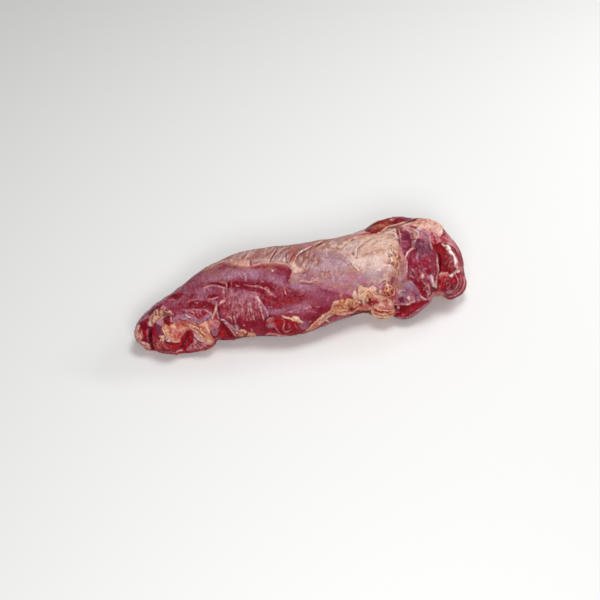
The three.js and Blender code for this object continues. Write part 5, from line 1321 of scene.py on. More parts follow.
# painted glint on the tan piece
line("white", [(413.4, 232.6), (414.6, 233.8), (415.4, 234.4)], 0.9, a=0.9, h=0.4)
spot("blush", 415.6, 236, 1.4, 1.2, 0, a=0.7, h=0.2)
spot("umber", 412, 233.6, 0.9, 0.9, 0, a=0.8, h=-0.3)
spot("umber", 409.8, 233.8, 0.8, 0.7, 0, a=0.8)
spot("pink/rose", 413.6, 240.4, 1.6, 1.4, 0, a=0.6)
spot("rose/clay", 414, 234.4, 2.4, 2.6, 0, a=0.4)
line("blush", [(409, 231), (411.4, 232), (413.6, 231.4)], 0.9, a=0.7, h=0.3)
specks("umber", [(410, 230), (417, 230), (416, 240), (412, 244)], 12, 0.8, 81, a=0.6, h=-0.2)
specks("blush", [(409, 229), (418, 229), (416, 242), (412, 246)], 14, 0.8, 82, a=0.6, h=0.2)
line("pale", [(413, 229.6), (416, 230.4), (418.2, 232.4), (418.4, 235.4), (416.6, 238.4), (414.6, 241.6)], 1.4, a=0.8, h=0.6)
line("pearl", [(416.4, 241.6), (415.4, 244.4), (414, 247)], 1.2, a=0.5, h=0.3)
# large muscle of the head
area("wine/muscle", [(408.2, 250.8), (411, 249.8), (415, 248.8), (420, 251.8), (428, 250.2), (433, 250.3), (436.7, 254.8), (437.1, 262), (437.9, 268), (437.3, 276), (436.4, 288.3), (432, 292.4), (428, 296.4), (424, 297.4), (419.8, 291.2), (415.8, 286.3), (411.8, 282.3), (408.2, 278), (407.2, 272), (407.8, 262)], soft=1.2, rough=0.5, h=0.6, rim=4)
spot("cherry/muscle", 423, 268, 8, 5, 0, a=0.45)
spot("brick/muscle", 419, 274, 7, 4, 20, a=0.35)
spot("cherry/wine", 429, 260, 6, 6, 0, a=0.5)
spot("muscle/wine", 413, 254.6, 4.4, 2.6, -10, a=0.6)
spot("brick/muscle", 412, 259, 4, 4, 0, a=0.5)
spot("wine", 410, 266, 2.4, 6, 0, a=0.6)
spot("mauve/wine", 410.6, 273, 2.6, 5, 10, a=0.55)
spot("wine/blood", 428, 283, 5, 5, 0, a=0.6)
spot("wine/plum", 428, 255.6, 6, 2.8, 0, a=0.55)
spot("lilac/mauve", 417.6, 257, 1.6, 5.4, 4, a=0.75)
spot("plum", 421, 256, 1.6, 4, 0, a=0.6)
spot("blood", 433.6, 268.6, 3, 5, 0, a=0.6)
spot("blood/wine", 413, 279, 4, 2.6, 40, a=0.6)
spot("blood", 419.6, 284, 5, 3, 46, a=0.7)
area("blood/cherry", [(419.6, 287), (423, 287.4), (425.4, 290), (426, 295), (424.8, 298), (421.4, 294), (418.6, 290)], soft=1.2, rough=0.6)
area("maroon/blood", [(430.4, 287), (433, 286.6), (436, 288), (435.6, 291), (432.6, 293.6), (430, 291.4)], soft=1.2, rough=0.6, h=-0.5)
spot("dark", 433, 289.6, 2, 1.6, 0, a=0.5)
streaks("pink", [(409, 254), (430, 253), (436, 262), (436, 276), (424, 280), (411, 270)], 60, -0.7, 2.0, 0.8, 25, a=0.3, h=0.15)
streaks("blood", [(409, 254), (430, 252), (437, 262), (437, 284), (426, 294), (412, 280)], 90, -0.9, 2.4, 0.9, 26, a=0.4, h=-0.15)
# the blush specks are painted speckle glints
specks("blush", [(412, 272), (424, 268), (436, 262), (436, 274), (428, 282), (420, 284)], 26, 0.6, 41, a=0.42, h=0.2)
specks("dark", [(410, 264), (420, 270), (436, 258), (437, 284), (426, 290), (412, 280)], 34, 0.8, 42, a=0.4, h=-0.2)
line("blush", [(411.6, 268), (413.4, 271), (415.6, 274), (418, 277)], 0.8, a=0.55)
line("blush", [(409.6, 275.8), (412, 276.4), (414, 277.8)], 0.9, a=0.7, h=0.2)
line("pink", [(421, 272), (424, 270), (426.4, 267.6)], 0.9, a=0.5)
# a painted glint: a pale dab with a white centre
area("blush/salmon", [(420.4, 274.8), (421.6, 272.6), (423.8, 273), (424.8, 275.6), (424, 277.8), (421.8, 277.8)], soft=1.2, rough=0.8, a=0.9, h=0.4)
spot("white", 422.6, 275.6, 1.0, 1.0, a=0.7, h=0.2)
spot("haze/pink", 429, 277, 2.4, 2.2, 0, a=0.7)
spot("wine", 425.8, 277.6, 1.2, 1.8, 0, a=0.6)
# the painted sheen beside the cleft: pale, white and haze lines
line("pale", [(431.2, 275.2), (432.4, 278.6), (433.2, 282), (434.4, 285.6), (435.4, 287.4)], 2.6, a=0.8, h=0.7, hw=3)
line("white", [(431.8, 277), (432.8, 280.4), (433.4, 283)], 1.6, a=0.9, h=0.4)
line("haze", [(430.2, 277), (431, 281), (432, 285)], 1.2, a=0.7)
spot("brick", 434.4, 279, 1.0, 3, -6, a=0.7)
line("blush", [(436.4, 276), (435.8, 280), (435.6, 284), (436, 288)], 1.1, a=0.8, h=0.4)
line("blush", [(423.6, 282.4), (426, 284.6), (428, 287), (429.4, 290.4)], 1.0, a=0.85, h=0.4)
line("blush", [(426, 282), (428.4, 285), (430, 288.6)], 0.8, a=0.6, h=0.3)
line("pink", [(424.4, 286), (426.4, 289), (427.6, 293), (427.4, 297)], 1.1, a=0.8, h=0.4)
line("blush", [(428.6, 291), (428.4, 295), (427.4, 299)], 1.0, a=0.75, h=0.4)
specks("blush", [(423, 281), (430, 284), (431, 296), (426, 298), (424, 290)], 18, 0.7, 43, a=0.6, h=0.2)
specks("dark", [(423, 281), (430, 284), (431, 296), (426, 298), (424, 290)], 16, 0.8, 44, a=0.6, h=-0.3)
# slate window above it, the pink one above that
area("plum/plum", [(415.8, 242), (419, 240.4), (428, 240.6), (430.8, 243), (432, 247), (432.6, 250.6), (429.6, 251.4), (424, 253.6), (420, 253.4), (415, 249.6), (414.4, 246), (415, 243.6)], soft=2.6, rough=0.8, h=0.3)
spot("slate", 420.6, 244, 4, 2.0, 0, a=0.35)
spot("plum", 423, 250.6, 3, 2.6, 0, a=0.6)
spot("mauve/slate", 427, 242.4, 3, 1.6, 10, a=0.4)
area("pink/mauve", [(419.4, 238.8), (420, 234), (421.6, 230), (424, 228), (428, 229.4), (431, 232), (431.6, 236), (430.6, 239.8), (426, 240.8), (421, 239.6)], soft=1.8, rough=0.8, h=0.3)
spot("mauve", 425, 234.6, 4, 3, 0, a=0.45)
spot("blush", 429.4, 233.6, 1.8, 2.6, 10, a=0.4)
line("pink", [(420.2, 238), (420, 234.6), (421.6, 231)], 1.0, a=0.6, h=0.3)
line("maroon", [(411.6, 239.4), (415, 239.4), (420, 239.2), (425.4, 239.4)], 0.8, a=0.75, h=-0.3)
# cream and pink fat over its top
area("shell/cream", [(410, 223.4), (413.6, 221.6), (418, 219.8), (424, 216.6), (431, 217), (438, 221), (443, 226), (442.4, 230), (441.8, 234), (440.4, 237.2), (437.6, 235.4), (434.4, 232.4), (431, 231), (427.4, 230.4), (424.4, 228), (420, 226.6), (414.6, 225.4)], soft=1.3, rough=1.0, h=0.9, rim=3)
spot("salmon/sand", 417.6, 223, 5, 1.7, -6, a=0.75)
spot("salmon/shell", 424, 221, 4, 1.6, 4, a=0.6)
spot("sand", 420, 219.4, 3, 1.2, -6, a=0.6)
spot("cream/ivory", 427.6, 225, 3.6, 3.4, 0, a=0.8)
spot("ivory/pale", 437, 230, 4, 3, 40, a=0.8)
spot("ivory", 440, 228.6, 2.2, 3.4, -8, a=0.8)
spot("pale/shell", 434.6, 226.6, 4, 2.8, 20, a=0.5)
spot("pink/salmon", 431, 229.4, 3.6, 1.6, 40, a=0.7)
spot("pink", 434.6, 233.6, 2.4, 1.6, 40, a=0.6)
spot("salmon", 435.2, 223.8, 1.8, 1.2, 36, a=0.7)
specks("salmon", [(422, 220), (432, 220), (440, 228), (437, 233), (428, 229)], 10, 1.0, 45, a=0.4, h=-0.2)
specks("white", [(424, 222), (433, 222), (440, 229), (437, 233), (428, 229)], 12, 1.0, 46, a=0.5, h=0.2)
line("salmon", [(424.6, 219.6), (425.2, 223.4), (424.4, 227)], 0.9, a=0.5, h=-0.3)
line("salmon", [(433.6, 226), (434.6, 229), (436.8, 232)], 0.9, a=0.45, h=-0.3)
line("white", [(442.2, 229), (441.8, 232), (441, 235.6)], 1.4, a=0.8, h=0.4)
# red corner between the pink window, the fat and the outer lobe
area("pink/brick", [(430.4, 234), (434, 233.4), (437.4, 236), (440.6, 238), (443.6, 238.4), (442.4, 242.6), (438.6, 244.4), (433.6, 244), (431, 241)], soft=1.4, rough=1.0)
spot("brick/cherry", 434.6, 241, 3, 2, 10, a=0.7)
spot("blush", 436.6, 239.6, 1.8, 1.0, 30, a=0.6)
specks("blush", [(431, 235), (440, 237), (443, 241), (436, 244), (431, 242)], 16, 0.8, 47, a=0.75, h=0.3)
specks("cherry", [(431, 235), (440, 237), (443, 241), (436, 244), (431, 242)], 14, 0.9, 48, a=0.6, h=-0.2)
line("blush", [(430, 236), (429.8, 239.4), (430.4, 243), (431.6, 246.6), (432.4, 249.4)], 1.1, a=0.85, h=0.4)
area("cherry/blood", [(432.6, 246), (434, 243.8), (438, 243.6), (442, 244.6), (443.6, 248), (443, 252), (440.6, 254.4), (437.6, 254.4), (435, 251.4)], soft=1.6, rough=0.6, h=0.3)
spot("scarlet", 437.6, 247.6, 3, 2, 30, a=0.55)
# the membrane round the large muscle
spot("haze/rose", 404.8, 270, 1.6, 9, 0, a=0.75)
line("blush", [(414.4, 247.8), (411, 249.4), (408.8, 251.4), (407, 254), (405.6, 257)], 2.0, a=0.95, h=0.9, taper=0.4)
line("blush", [(405.6, 257), (406, 260), (407, 263), (407, 268), (406.7, 274)], 1.3, a=0.85, h=0.7, taper=0.4)
line("white", [(406.2, 255.6), (408, 252.4), (410, 250.4)], 0.9, a=0.7, h=0.3)
line("tan", [(406.7, 274), (406.6, 278), (407.4, 281)], 1.2, a=0.6, h=0.2)
line("umber", [(403.6, 262), (404, 267), (403.8, 273)], 0.9, a=0.4, h=-0.4)
# outer lobe
area("blood/blood", [(433, 246.2), (437, 243.9), (441, 242.6), (446, 239), (452, 237.6), (460, 242), (466, 252), (468, 268), (466, 276), (461, 275.6), (456, 275), (450.6, 275.4), (447.6, 272.7), (444, 273.2), (440, 273.2), (440.2, 266), (439.7, 258), (437.5, 253.7), (434.8, 250)], soft=1.1, rough=0.7, h=0.8, rim=3)
area("brick/pink", [(441, 238), (446, 234), (452, 236), (458, 242), (462, 250), (459, 252), (455, 248.4), (450, 243.6), (445, 243), (441.6, 242.6)], soft=1.6, rough=0.8)
spot("dark/blood", 446, 266, 4, 5, 0, a=0.35)
area("blood/cherry", [(439.6, 254), (442, 254.6), (443.6, 260), (443.6, 271.6), (440, 272), (440, 264)], soft=2.0, rough=0.6, a=0.7, h=0.8)
spot("cherry", 440, 250, 3, 2.4, 30, a=0.5)
spot("scarlet/rust", 445.6, 241, 3, 1.6, 12, a=0.75)
spot("blush", 450, 239, 2.6, 1.2, 36, a=0.5)
spot("cherry/blood", 445.6, 256, 3.6, 5, -16, a=0.5)
spot("cherry/brick", 460.6, 258, 2.4, 9, -10, a=0.85)
spot("pink/brick", 462, 248, 2, 5, -20, a=0.5)
spot("cherry/brick", 460.6, 257, 2.0, 9, -14, a=0.95)
spot("salmon/blush", 461.4, 269, 1.4, 3.0, 0, a=0.85)
spot("scarlet", 462.4, 274.6, 1.6, 2.6, 0, a=0.6)
# painted highlight on the outer lobe: the white streak where the right lamp shows in the wet surface, with pink and
# blush sheen lines and specks beside it, over the real reflection
line("blush", [(446.6, 242.4), (449.6, 243.4), (452.6, 245.6), (455, 248.6)], 0.9, a=0.7, h=0.3)
line("pink", [(452.6, 242.6), (455, 245.6), (457.4, 250), (459, 255)], 0.9, a=0.5, h=0.3)
line("blush/white", [(443.2, 244.6), (445.4, 245.8), (447.8, 248), (449.8, 250.8), (452.4, 253.2), (454.6, 256.6), (455.8, 261), (456.4, 266), (457.8, 269.6), (455.8, 272.6), (452.8, 274.2)], 3.6, a=0.8, h=0.3, hw=5, soft=1.2, rough=0.9, taper=0.5)
spot("cherry/maroon", 460.9, 257.4, 1.5, 8, -14, a=0.7)
specks("pink", [(446, 255), (451, 257), (454, 262), (454, 271), (446, 271), (444, 264)], 40, 0.6, 49, a=0.3, h=0.1)
specks("blush", [(449, 255), (452.6, 258), (454, 264), (453, 271), (449, 270)], 16, 0.7, 50, a=0.4, h=0.15)
spot("blood/dark", 442.8, 264.6, 2.2, 6.4, -3, a=0.65)
specks("dark", [(440, 252), (448, 252), (453, 262), (452, 272), (441, 272)], 36, 0.9, 51, a=0.5, h=-0.25)
specks("scarlet", [(440, 248), (449, 250), (454, 262), (452, 272), (441, 272)], 30, 0.9, 52, a=0.4, h=0.2)
# the cleft, sunk, with painted shade (dark and black lines) down it
line("dark", [(438.4, 254.6), (438.9, 258), (439.3, 263), (439.6, 268), (439, 272.6), (438.2, 278), (438, 283), (437.6, 287), (438.2, 289.6)], 1.2, a=0.95, h=-1.8, hw=1.6, taper=0.5)
line("black", [(438.8, 257), (439.2, 262), (439.2, 266)], 0.9, a=0.7)
line("black", [(438.6, 275), (438.2, 280), (438.2, 285)], 1.1, a=0.8)
line("blush", [(436.8, 254.4), (437.1, 258), (437.2, 262.4), (437.8, 266), (438.6, 268.6), (438.2, 271.4), (437.3, 275), (437, 280)], 1.0, a=0.75, h=0.4)
area("salmon/shell", [(439.2, 275), (440.4, 272.9), (444, 272.2), (447.6, 272.6), (449, 275), (447.6, 276.6), (444, 275.8), (441, 276.3)], soft=1.2, rough=0.8, h=0.6)
spot("shell", 445.6, 273, 2.2, 0.9, 0, a=0.7)
# painted highlight at the foot of the streak
spot("white", 451, 275.8, 1.8, 1.7, 0, a=0.9, h=0.5)
# rolled end
area("cherry/wine", [(439.2, 277.2), (444, 276.6), (450, 277.7), (456, 274.4), (460, 273), (465, 275), (470, 284), (467, 292), (460, 298), (452, 300), (446, 297), (444, 293.4), (441, 291.4), (438.6, 289.3), (438.6, 283)], soft=1.1, rough=0.6, h=0.9, rim=3)
spot("blood/brick", 447.6, 283.6, 5, 5, 0, a=0.6)
area("scarlet/cherry", [(438.8, 276.4), (442.6, 275.8), (446, 277), (444.6, 280), (442, 283), (441.4, 287.6), (442.6, 291), (439.4, 291), (437.8, 287), (438.6, 281)], soft=1.8, rough=0.9)
spot("scarlet/apricot", 440.4, 277.6, 1.6, 1.8, 0, a=0.5)
spot("apricot/salmon", 439.6, 286.6, 1.2, 2.6, 0, a=0.45)
spot("scarlet", 455, 280, 2.4, 4.4, 0, a=0.4)
spot("scarlet", 462.4, 279, 1.4, 3.6, 0, a=0.6)
# blush specks: painted glints on the rolled end
specks("blush", [(444, 278), (454, 278), (455, 288), (446, 289), (443, 284)], 26, 0.7, 53, a=0.4, h=0.2)
specks("dark", [(442, 277), (455, 277), (456, 288), (446, 290), (442, 286)], 36, 0.9, 54, a=0.5, h=-0.25)
specks("scarlet", [(442, 277), (455, 277), (456, 288), (446, 290), (442, 286)], 20, 0.9, 55, a=0.5, h=0.2)
line("blush", [(456, 275.4), (458, 279), (458.2, 283), (456.4, 287), (453.4, 290.4), (450.4, 292.4)], 1.2, a=0.8, h=0.6)
line("dark", [(454.8, 277.4), (456.6, 281), (456.2, 285.2), (453.6, 288.8), (450, 291)], 1.0, a=0.5, h=-0.6)
line("pink", [(460.2, 274), (461, 279), (460.6, 284), (458, 289), (454, 293), (449, 295)], 1.2, a=0.8, h=0.5)
line("maroon", [(459, 276.6), (459.8, 281), (458.8, 286.4), (455.4, 290.8), (451, 293.4)], 1.0, a=0.6, h=-0.6)
line("blush", [(463.4, 276), (464.4, 281), (463.4, 287), (459.6, 292.4), (454, 296), (448, 296.8)], 1.4, a=0.75, h=0.5)
spot("haze/pink", 449, 292, 4, 2, -16, a=0.65)
line("maroon", [(445, 293.4), (449, 294.6), (454, 294)], 1.3, a=0.8, h=-0.4)
line("wine", [(446, 296.6), (451, 297.6), (456, 296)], 1.1, a=0.6)
# where muscle, rolled end and flap meet
area("pink/rose", [(431, 294.4), (434, 292.4), (438.6, 291.4), (442, 291.8), (444.3, 292.9), (444.4, 295), (440, 296.4), (434, 298.4), (431, 300.6), (430, 297)], soft=1.2, rough=0.8)
spot("scarlet/salmon", 440, 290.8, 2.4, 1.2, 10, a=0.8)
spot("brick", 436, 293.6, 2.6, 1.2, -10, a=0.6)
specks("salmon", [(431, 294), (438, 291), (444, 293), (438, 296), (431, 299)], 10, 0.9, 56, a=0.6)
line("pale", [(418, 292.6), (419.6, 295.2), (421.6, 297.2), (424, 298.4), (427, 299.8)], 1.4, a=0.9, h=0.7)
line("pink", [(419, 298.6), (423, 299.2), (427, 300.6)], 1.2, a=0.75, h=0.3)
line("blush", [(430.4, 296), (429.4, 298.4), (427.6, 300.4)], 1.1, a=0.8, h=0.4)
# grey-purple muscle and dark flap beneath
area("slate/mauve", [(398.4, 292), (401, 289.4), (403.6, 284.8), (405.6, 280.6), (409.2, 280), (412.3, 282.3), (416.3, 286.8), (419.6, 291), (420.4, 295), (418.4, 299.3), (414, 301.6), (411, 302.8), (406, 303.3), (401, 303.8), (398.6, 303.3), (397.8, 297)], soft=1.8, rough=0.8, h=0.5)
spot("haze", 407.6, 284.6, 3.2, 3.4, 20, a=0.75)
spot("haze/slate", 411, 288, 4, 3, 44, a=0.55)
spot("mauve/wine", 414.6, 294.6, 3, 4, -14, a=0.55)
spot("brick/mauve", 412, 296, 2.4, 2.4, 0, a=0.35)
spot("haze", 401, 294.6, 2.4, 2, 0, a=0.7)
area("plum/maroon", [(399, 297.4), (402, 296.6), (403.8, 298.6), (403.6, 302.6), (400.6, 303.4), (398.8, 301)], soft=1.2, rough=0.6, a=0.9)
spot("plum", 406.6, 300.4, 2, 1.8, 0, a=0.55)
line("haze", [(409.6, 280.6), (413, 283.6), (416.4, 287.4)], 0.9, a=0.65, h=0.2)
line("pale", [(398.2, 293.6), (399.6, 291.6), (402.2, 290.4), (405.6, 290.8)], 1.2, a=0.75, h=0.4)
line("slate", [(403.6, 292.4), (407, 293.6), (409.4, 296)], 1.0, a=0.4)
line("mauve", [(399, 286.6), (402, 288.6), (407, 289.4)], 0.8, a=0.4)
area("shell/cream", [(407, 297), (408.2, 295.6), (409.6, 296.4), (410.2, 298.6), (409.6, 300.8), (408, 299.6)], soft=1.0, rough=0.7, a=0.9, h=0.4)
spot("cream", 408.4, 304.4, 2.2, 1.0, -6, a=0.85, h=0.4)
line("blush", [(394.6, 304.4), (398, 304), (402, 304.2), (406, 304.2)], 0.9, a=0.75, h=0.3)
line("shell", [(409.4, 303.4), (412, 302), (415.4, 301)], 1.2, a=0.8, h=0.4)
specks("blush", [(408, 302), (418, 299), (424, 300), (414, 304)], 12, 0.8, 57, a=0.6, h=0.3)
area("blood/cherry", [(395.4, 313.2), (399, 312.2), (404, 309), (409, 306.8), (412, 303.9), (416, 303.2), (421, 301.2), (427, 300.2), (430.6, 301.2), (428.6, 304.8), (422, 309.2), (415, 314.4), (408, 319), (402, 320.4), (397, 318.4)], soft=1.1, rough=0.5, h=1.0, rim=3)
area("wine/maroon", [(396, 305.6), (402, 305), (409, 305.6), (406, 308.6), (400, 311), (396, 312)], soft=1.2, rough=0.6, h=-0.4)
spot("pink/blush", 398.4, 307.4, 1.4, 1.4, 0, a=0.85, h=0.3)
spot("dark", 395.2, 307.4, 1.6, 2.2, 0, a=0.8, h=-0.6)
spot("brick/cherry", 410, 311, 8, 2.4, -30, a=0.6)
line("cherry", [(399, 315.6), (404, 313.4), (409, 309.8), (414, 306), (420, 303)], 2.6, a=0.7, h=0.5)
line("dark", [(398.6, 311.4), (403, 309.4), (407.6, 306.8), (411, 304.6)], 1.2, a=0.6, h=-0.6)
line("maroon", [(404, 316.4), (410, 313.2), (416, 309.6), (422, 305.6)], 1.4, a=0.65, h=-0.5)
line("pink/mauve", [(430.4, 301.4), (425.4, 306), (419, 310.6), (412.4, 315.2), (406.4, 318.3), (400, 318.5), (396.4, 316.6)], 2.8, a=0.8, h=0.6, taper=0.5)
spot("scarlet/brick", 409, 310.4, 5, 1.8, -30, a=0.5)
line("blush", [(410, 314.8), (414, 312.4), (419, 309)], 0.8, a=0.5, h=0.3)
line("blush", [(402, 315.2), (406, 314)], 0.8, a=0.5, h=0.3)
line("dark", [(396, 316.6), (398, 316.2)], 1.3, a=0.7, h=-0.4)

# -- where the light catches the wet surface
shine(445, 246, 3.4, 2.0, 40, a=1.0)
shine(450.0, 250.8, 4.8, 3.0, 46, a=1.0)
shine(454.8, 257, 5.8, 3.2, 70, a=1.0)
shine(456.8, 266, 6.4, 3.0, 92, a=1.0)
shine(454, 272.6, 3.4, 2, 150, a=1.0)
shine(432.6, 280, 5, 1.6, 70, a=0.8)
shine(391.6, 259, 2, 4, 0, a=0.35)


# ---- mesh: even, then four times as fine where the photograph looks --------
def triangles_of(quads):
    return np.concatenate([quads[:, [0, 1, 2]], quads[:, [0, 2, 3]]])


def refine(p, quads, fine):
    """Splits the quads of fine points in four, and fans the ones beside them. Returns points and triangles."""
    e = edges_of(quads)
    cut = fine[e[:, 0]] | fine[e[:, 1]]
    key = {}
    code = e[:, 0] * np.int64(len(p)) + e[:, 1]
    order = np.argsort(code)
    code, cut = code[order], cut[order]
    e = e[order]
    number = np.where(cut, len(p) + np.cumsum(cut) - 1, -1)
    mids = (p[e[cut, 0]] + p[e[cut, 1]]) / 2
    side = []
    for k in range(4):
        a, b = quads[:, k], quads[:, (k + 1) % 4]
        lo, hi = np.minimum(a, b), np.maximum(a, b)
        side.append(number[np.searchsorted(code, lo * np.int64(len(p)) + hi)])
    side = np.stack(side, 1)
    some = (side >= 0).any(1)
    centre = -np.ones(len(quads), int)
    centre[some] = len(p) + len(mids) + np.arange(some.sum())
    centres = p[quads[some]].mean(1)
    points = np.concatenate([p, mids, centres])
    out = [triangles_of(quads[~some])]
    full = (side >= 0).all(1)
    q, s, c = quads[full], side[full], centre[full]
    for k in range(4):
        out.append(np.stack([q[:, k], s[:, k], c], 1))
        out.append(np.stack([q[:, k], c, s[:, k - 1]], 1))
    part = some & ~full
    q, s, c = quads[part], side[part], centre[part]
    for k in range(4):
        has = s[:, k] >= 0
        a, b = q[:, k], q[:, (k + 1) % 4]
        out.append(np.stack([a[~has], b[~has], c[~has]], 1))
        out.append(np.stack([a[has], s[has, k], c[has]], 1))
        out.append(np.stack([s[has, k], b[has], c[has]], 1))
    return points, np.concatenate(out)


def split_triangles(p, t, chosen):
    """Splits the chosen triangles in four, and the ones beside them in two or three. Returns points, triangles and each new point's two parents."""
    ends = np.concatenate([t[:, [0, 1]], t[:, [1, 2]], t[:, [2, 0]]])
    code = np.minimum(ends[:, 0], ends[:, 1]) * np.int64(len(p)) + np.maximum(ends[:, 0], ends[:, 1])
    cut = np.unique(code[np.tile(chosen, 3)])
    at = np.clip(np.searchsorted(cut, code), 0, len(cut) - 1)
    mid = np.where(cut[at] == code, len(p) + at, -1).reshape(3, -1).T
    parents = np.stack([cut // len(p), cut % len(p)], 1)
    points = np.concatenate([p, p[parents].mean(1)])
    n = (mid >= 0).sum(1)
    out = [t[n == 0]]
    q, m = t[n == 3], mid[n == 3]
    out += [np.stack(v, 1) for v in (
        (q[:, 0], m[:, 0], m[:, 2]), (m[:, 0], q[:, 1], m[:, 1]), (m[:, 2], m[:, 1], q[:, 2]), (m[:, 0], m[:, 1], m[:, 2]))]
    for k in range(3):
        r = [(k + j) % 3 for j in range(3)]
        w = (n == 1) & (mid[:, k] >= 0)
        q, m = t[w][:, r], mid[w][:, r]
        out += [np.stack([q[:, 0], m[:, 0], q[:, 2]], 1), np.stack([m[:, 0], q[:, 1], q[:, 2]], 1)]
        w = (n == 2) & (mid[:, k] < 0)
        q, m = t[w][:, r], mid[w][:, r]
        out += [np.stack([q[:, 0], q[:, 1], m[:, 1]], 1), np.stack([q[:, 0], m[:, 1], m[:, 2]], 1), np.stack([m[:, 2], m[:, 1], q[:, 2]], 1)]
    return points, np.concatenate(out), parents


def tri_normals(p, t):
    n = np.cross(p[t[:, 1]] - p[t[:, 0]], p[t[:, 2]] - p[t[:, 0]])
    out = np.zeros_like(p)
    for k in range(3):
        for c in range(3):
            out[:, k] += np.bincount(t[:, c], n[:, k], len(p))
    return out / np.maximum(np.linalg.norm(out, axis=1, keepdims=True), 1e-12)


def in_view(p, normal, tree):
    """How squarely each point faces the camera, and whether something is in its way."""
    d = EYE - p
    d /= np.linalg.norm(d, axis=1, keepdims=True)
    facing = (normal * d).sum(1)
    clear = np.zeros(len(p))
    for k in np.nonzero(facing > 0.02)[0]:
        hit = tree.ray_cast(Vector(p[k] + normal[k] * 1.5 + d[k] * 1.5), Vector(d[k]))
        clear[k] = hit[0] is None or hit[3] < 4.0
    clear[facing <= 0.02] = 1
    return facing, clear


MOST_TRIANGLES = 196000
P, QUADS = skin(SPACING)
used, QUADS = np.unique(QUADS, return_inverse=True)
P, QUADS = P[used], QUADS.reshape(-1, 4)
E0 = edges_of(QUADS)
for _ in range(3):
    P = settle(even(P, E0, 0.5))
P = settle(P)
N0 = normals_of(P, QUADS)
TREE = BVHTree.FromPolygons([Vector(v) for v in P], [tuple(int(i) for i in f) for f in QUADS])
facing, _ = in_view(P, N0, TREE)
fine = (facing > -0.12) & ((P[:, 2] > 2.0) | (facing > 0.3))
P, TRIS = refine(P, QUADS, fine)
for _ in range(2):
    P = settle(P)
EDGES = edges_of(TRIS)
P = settle(even(P, EDGES, 0.3))
NORMAL = tri_normals(P, TRIS)
# ---- what lies under the marks, all the way round --------------------------
def lay(colour_name, amount, ink, colour, stuff):
    """The same as an area mark, by a share at each point."""
    first, _, second = colour_name.partition("/")
    kinds = {"m": (0, 0, 0), "f": (1, 0, 0), "s": (0, 1, 0), "w": (0, 0, 1)}
    kb = PALETTE[second or first][1]
    ka = PALETTE[first][1]
    mix = ramp(ink[:, 1], -0.35, 0.35)[:, None]
    tint = dye(first) * (1 - mix) + dye(second or first) * mix
    kind = np.array(kinds[ka]) * (1 - mix) + np.array(kinds[kb]) * mix
    a = np.clip(amount, 0, 1)[:, None]
    colour[:] = colour + (tint - colour) * a
    stuff[:] = stuff + (kind - stuff) * a


def arc_of(p):
    """How far round the meat each point is, in millimetres from the top line."""
    x, y, z = p.T
    along = (half_width(x) + top_z(x) * 0.5) * 0.5
    arc = -(np.arctan2(z - top_z(x) * AXIS_SHARE, y - middle_y(x)) - math.pi / 2) * along * 1.1
    return np.where(arc > math.pi * along, arc - 2.2 * math.pi * along, arc)


SINK = 0.9  # the bare flesh lies this much lower than the solid, so that the relief keeps to its outline


def swell_of(p):
    """Broad, shallow unevenness, in millimetres."""
    return lattice_noise(p, 16.0, 83, 1) * 0.8


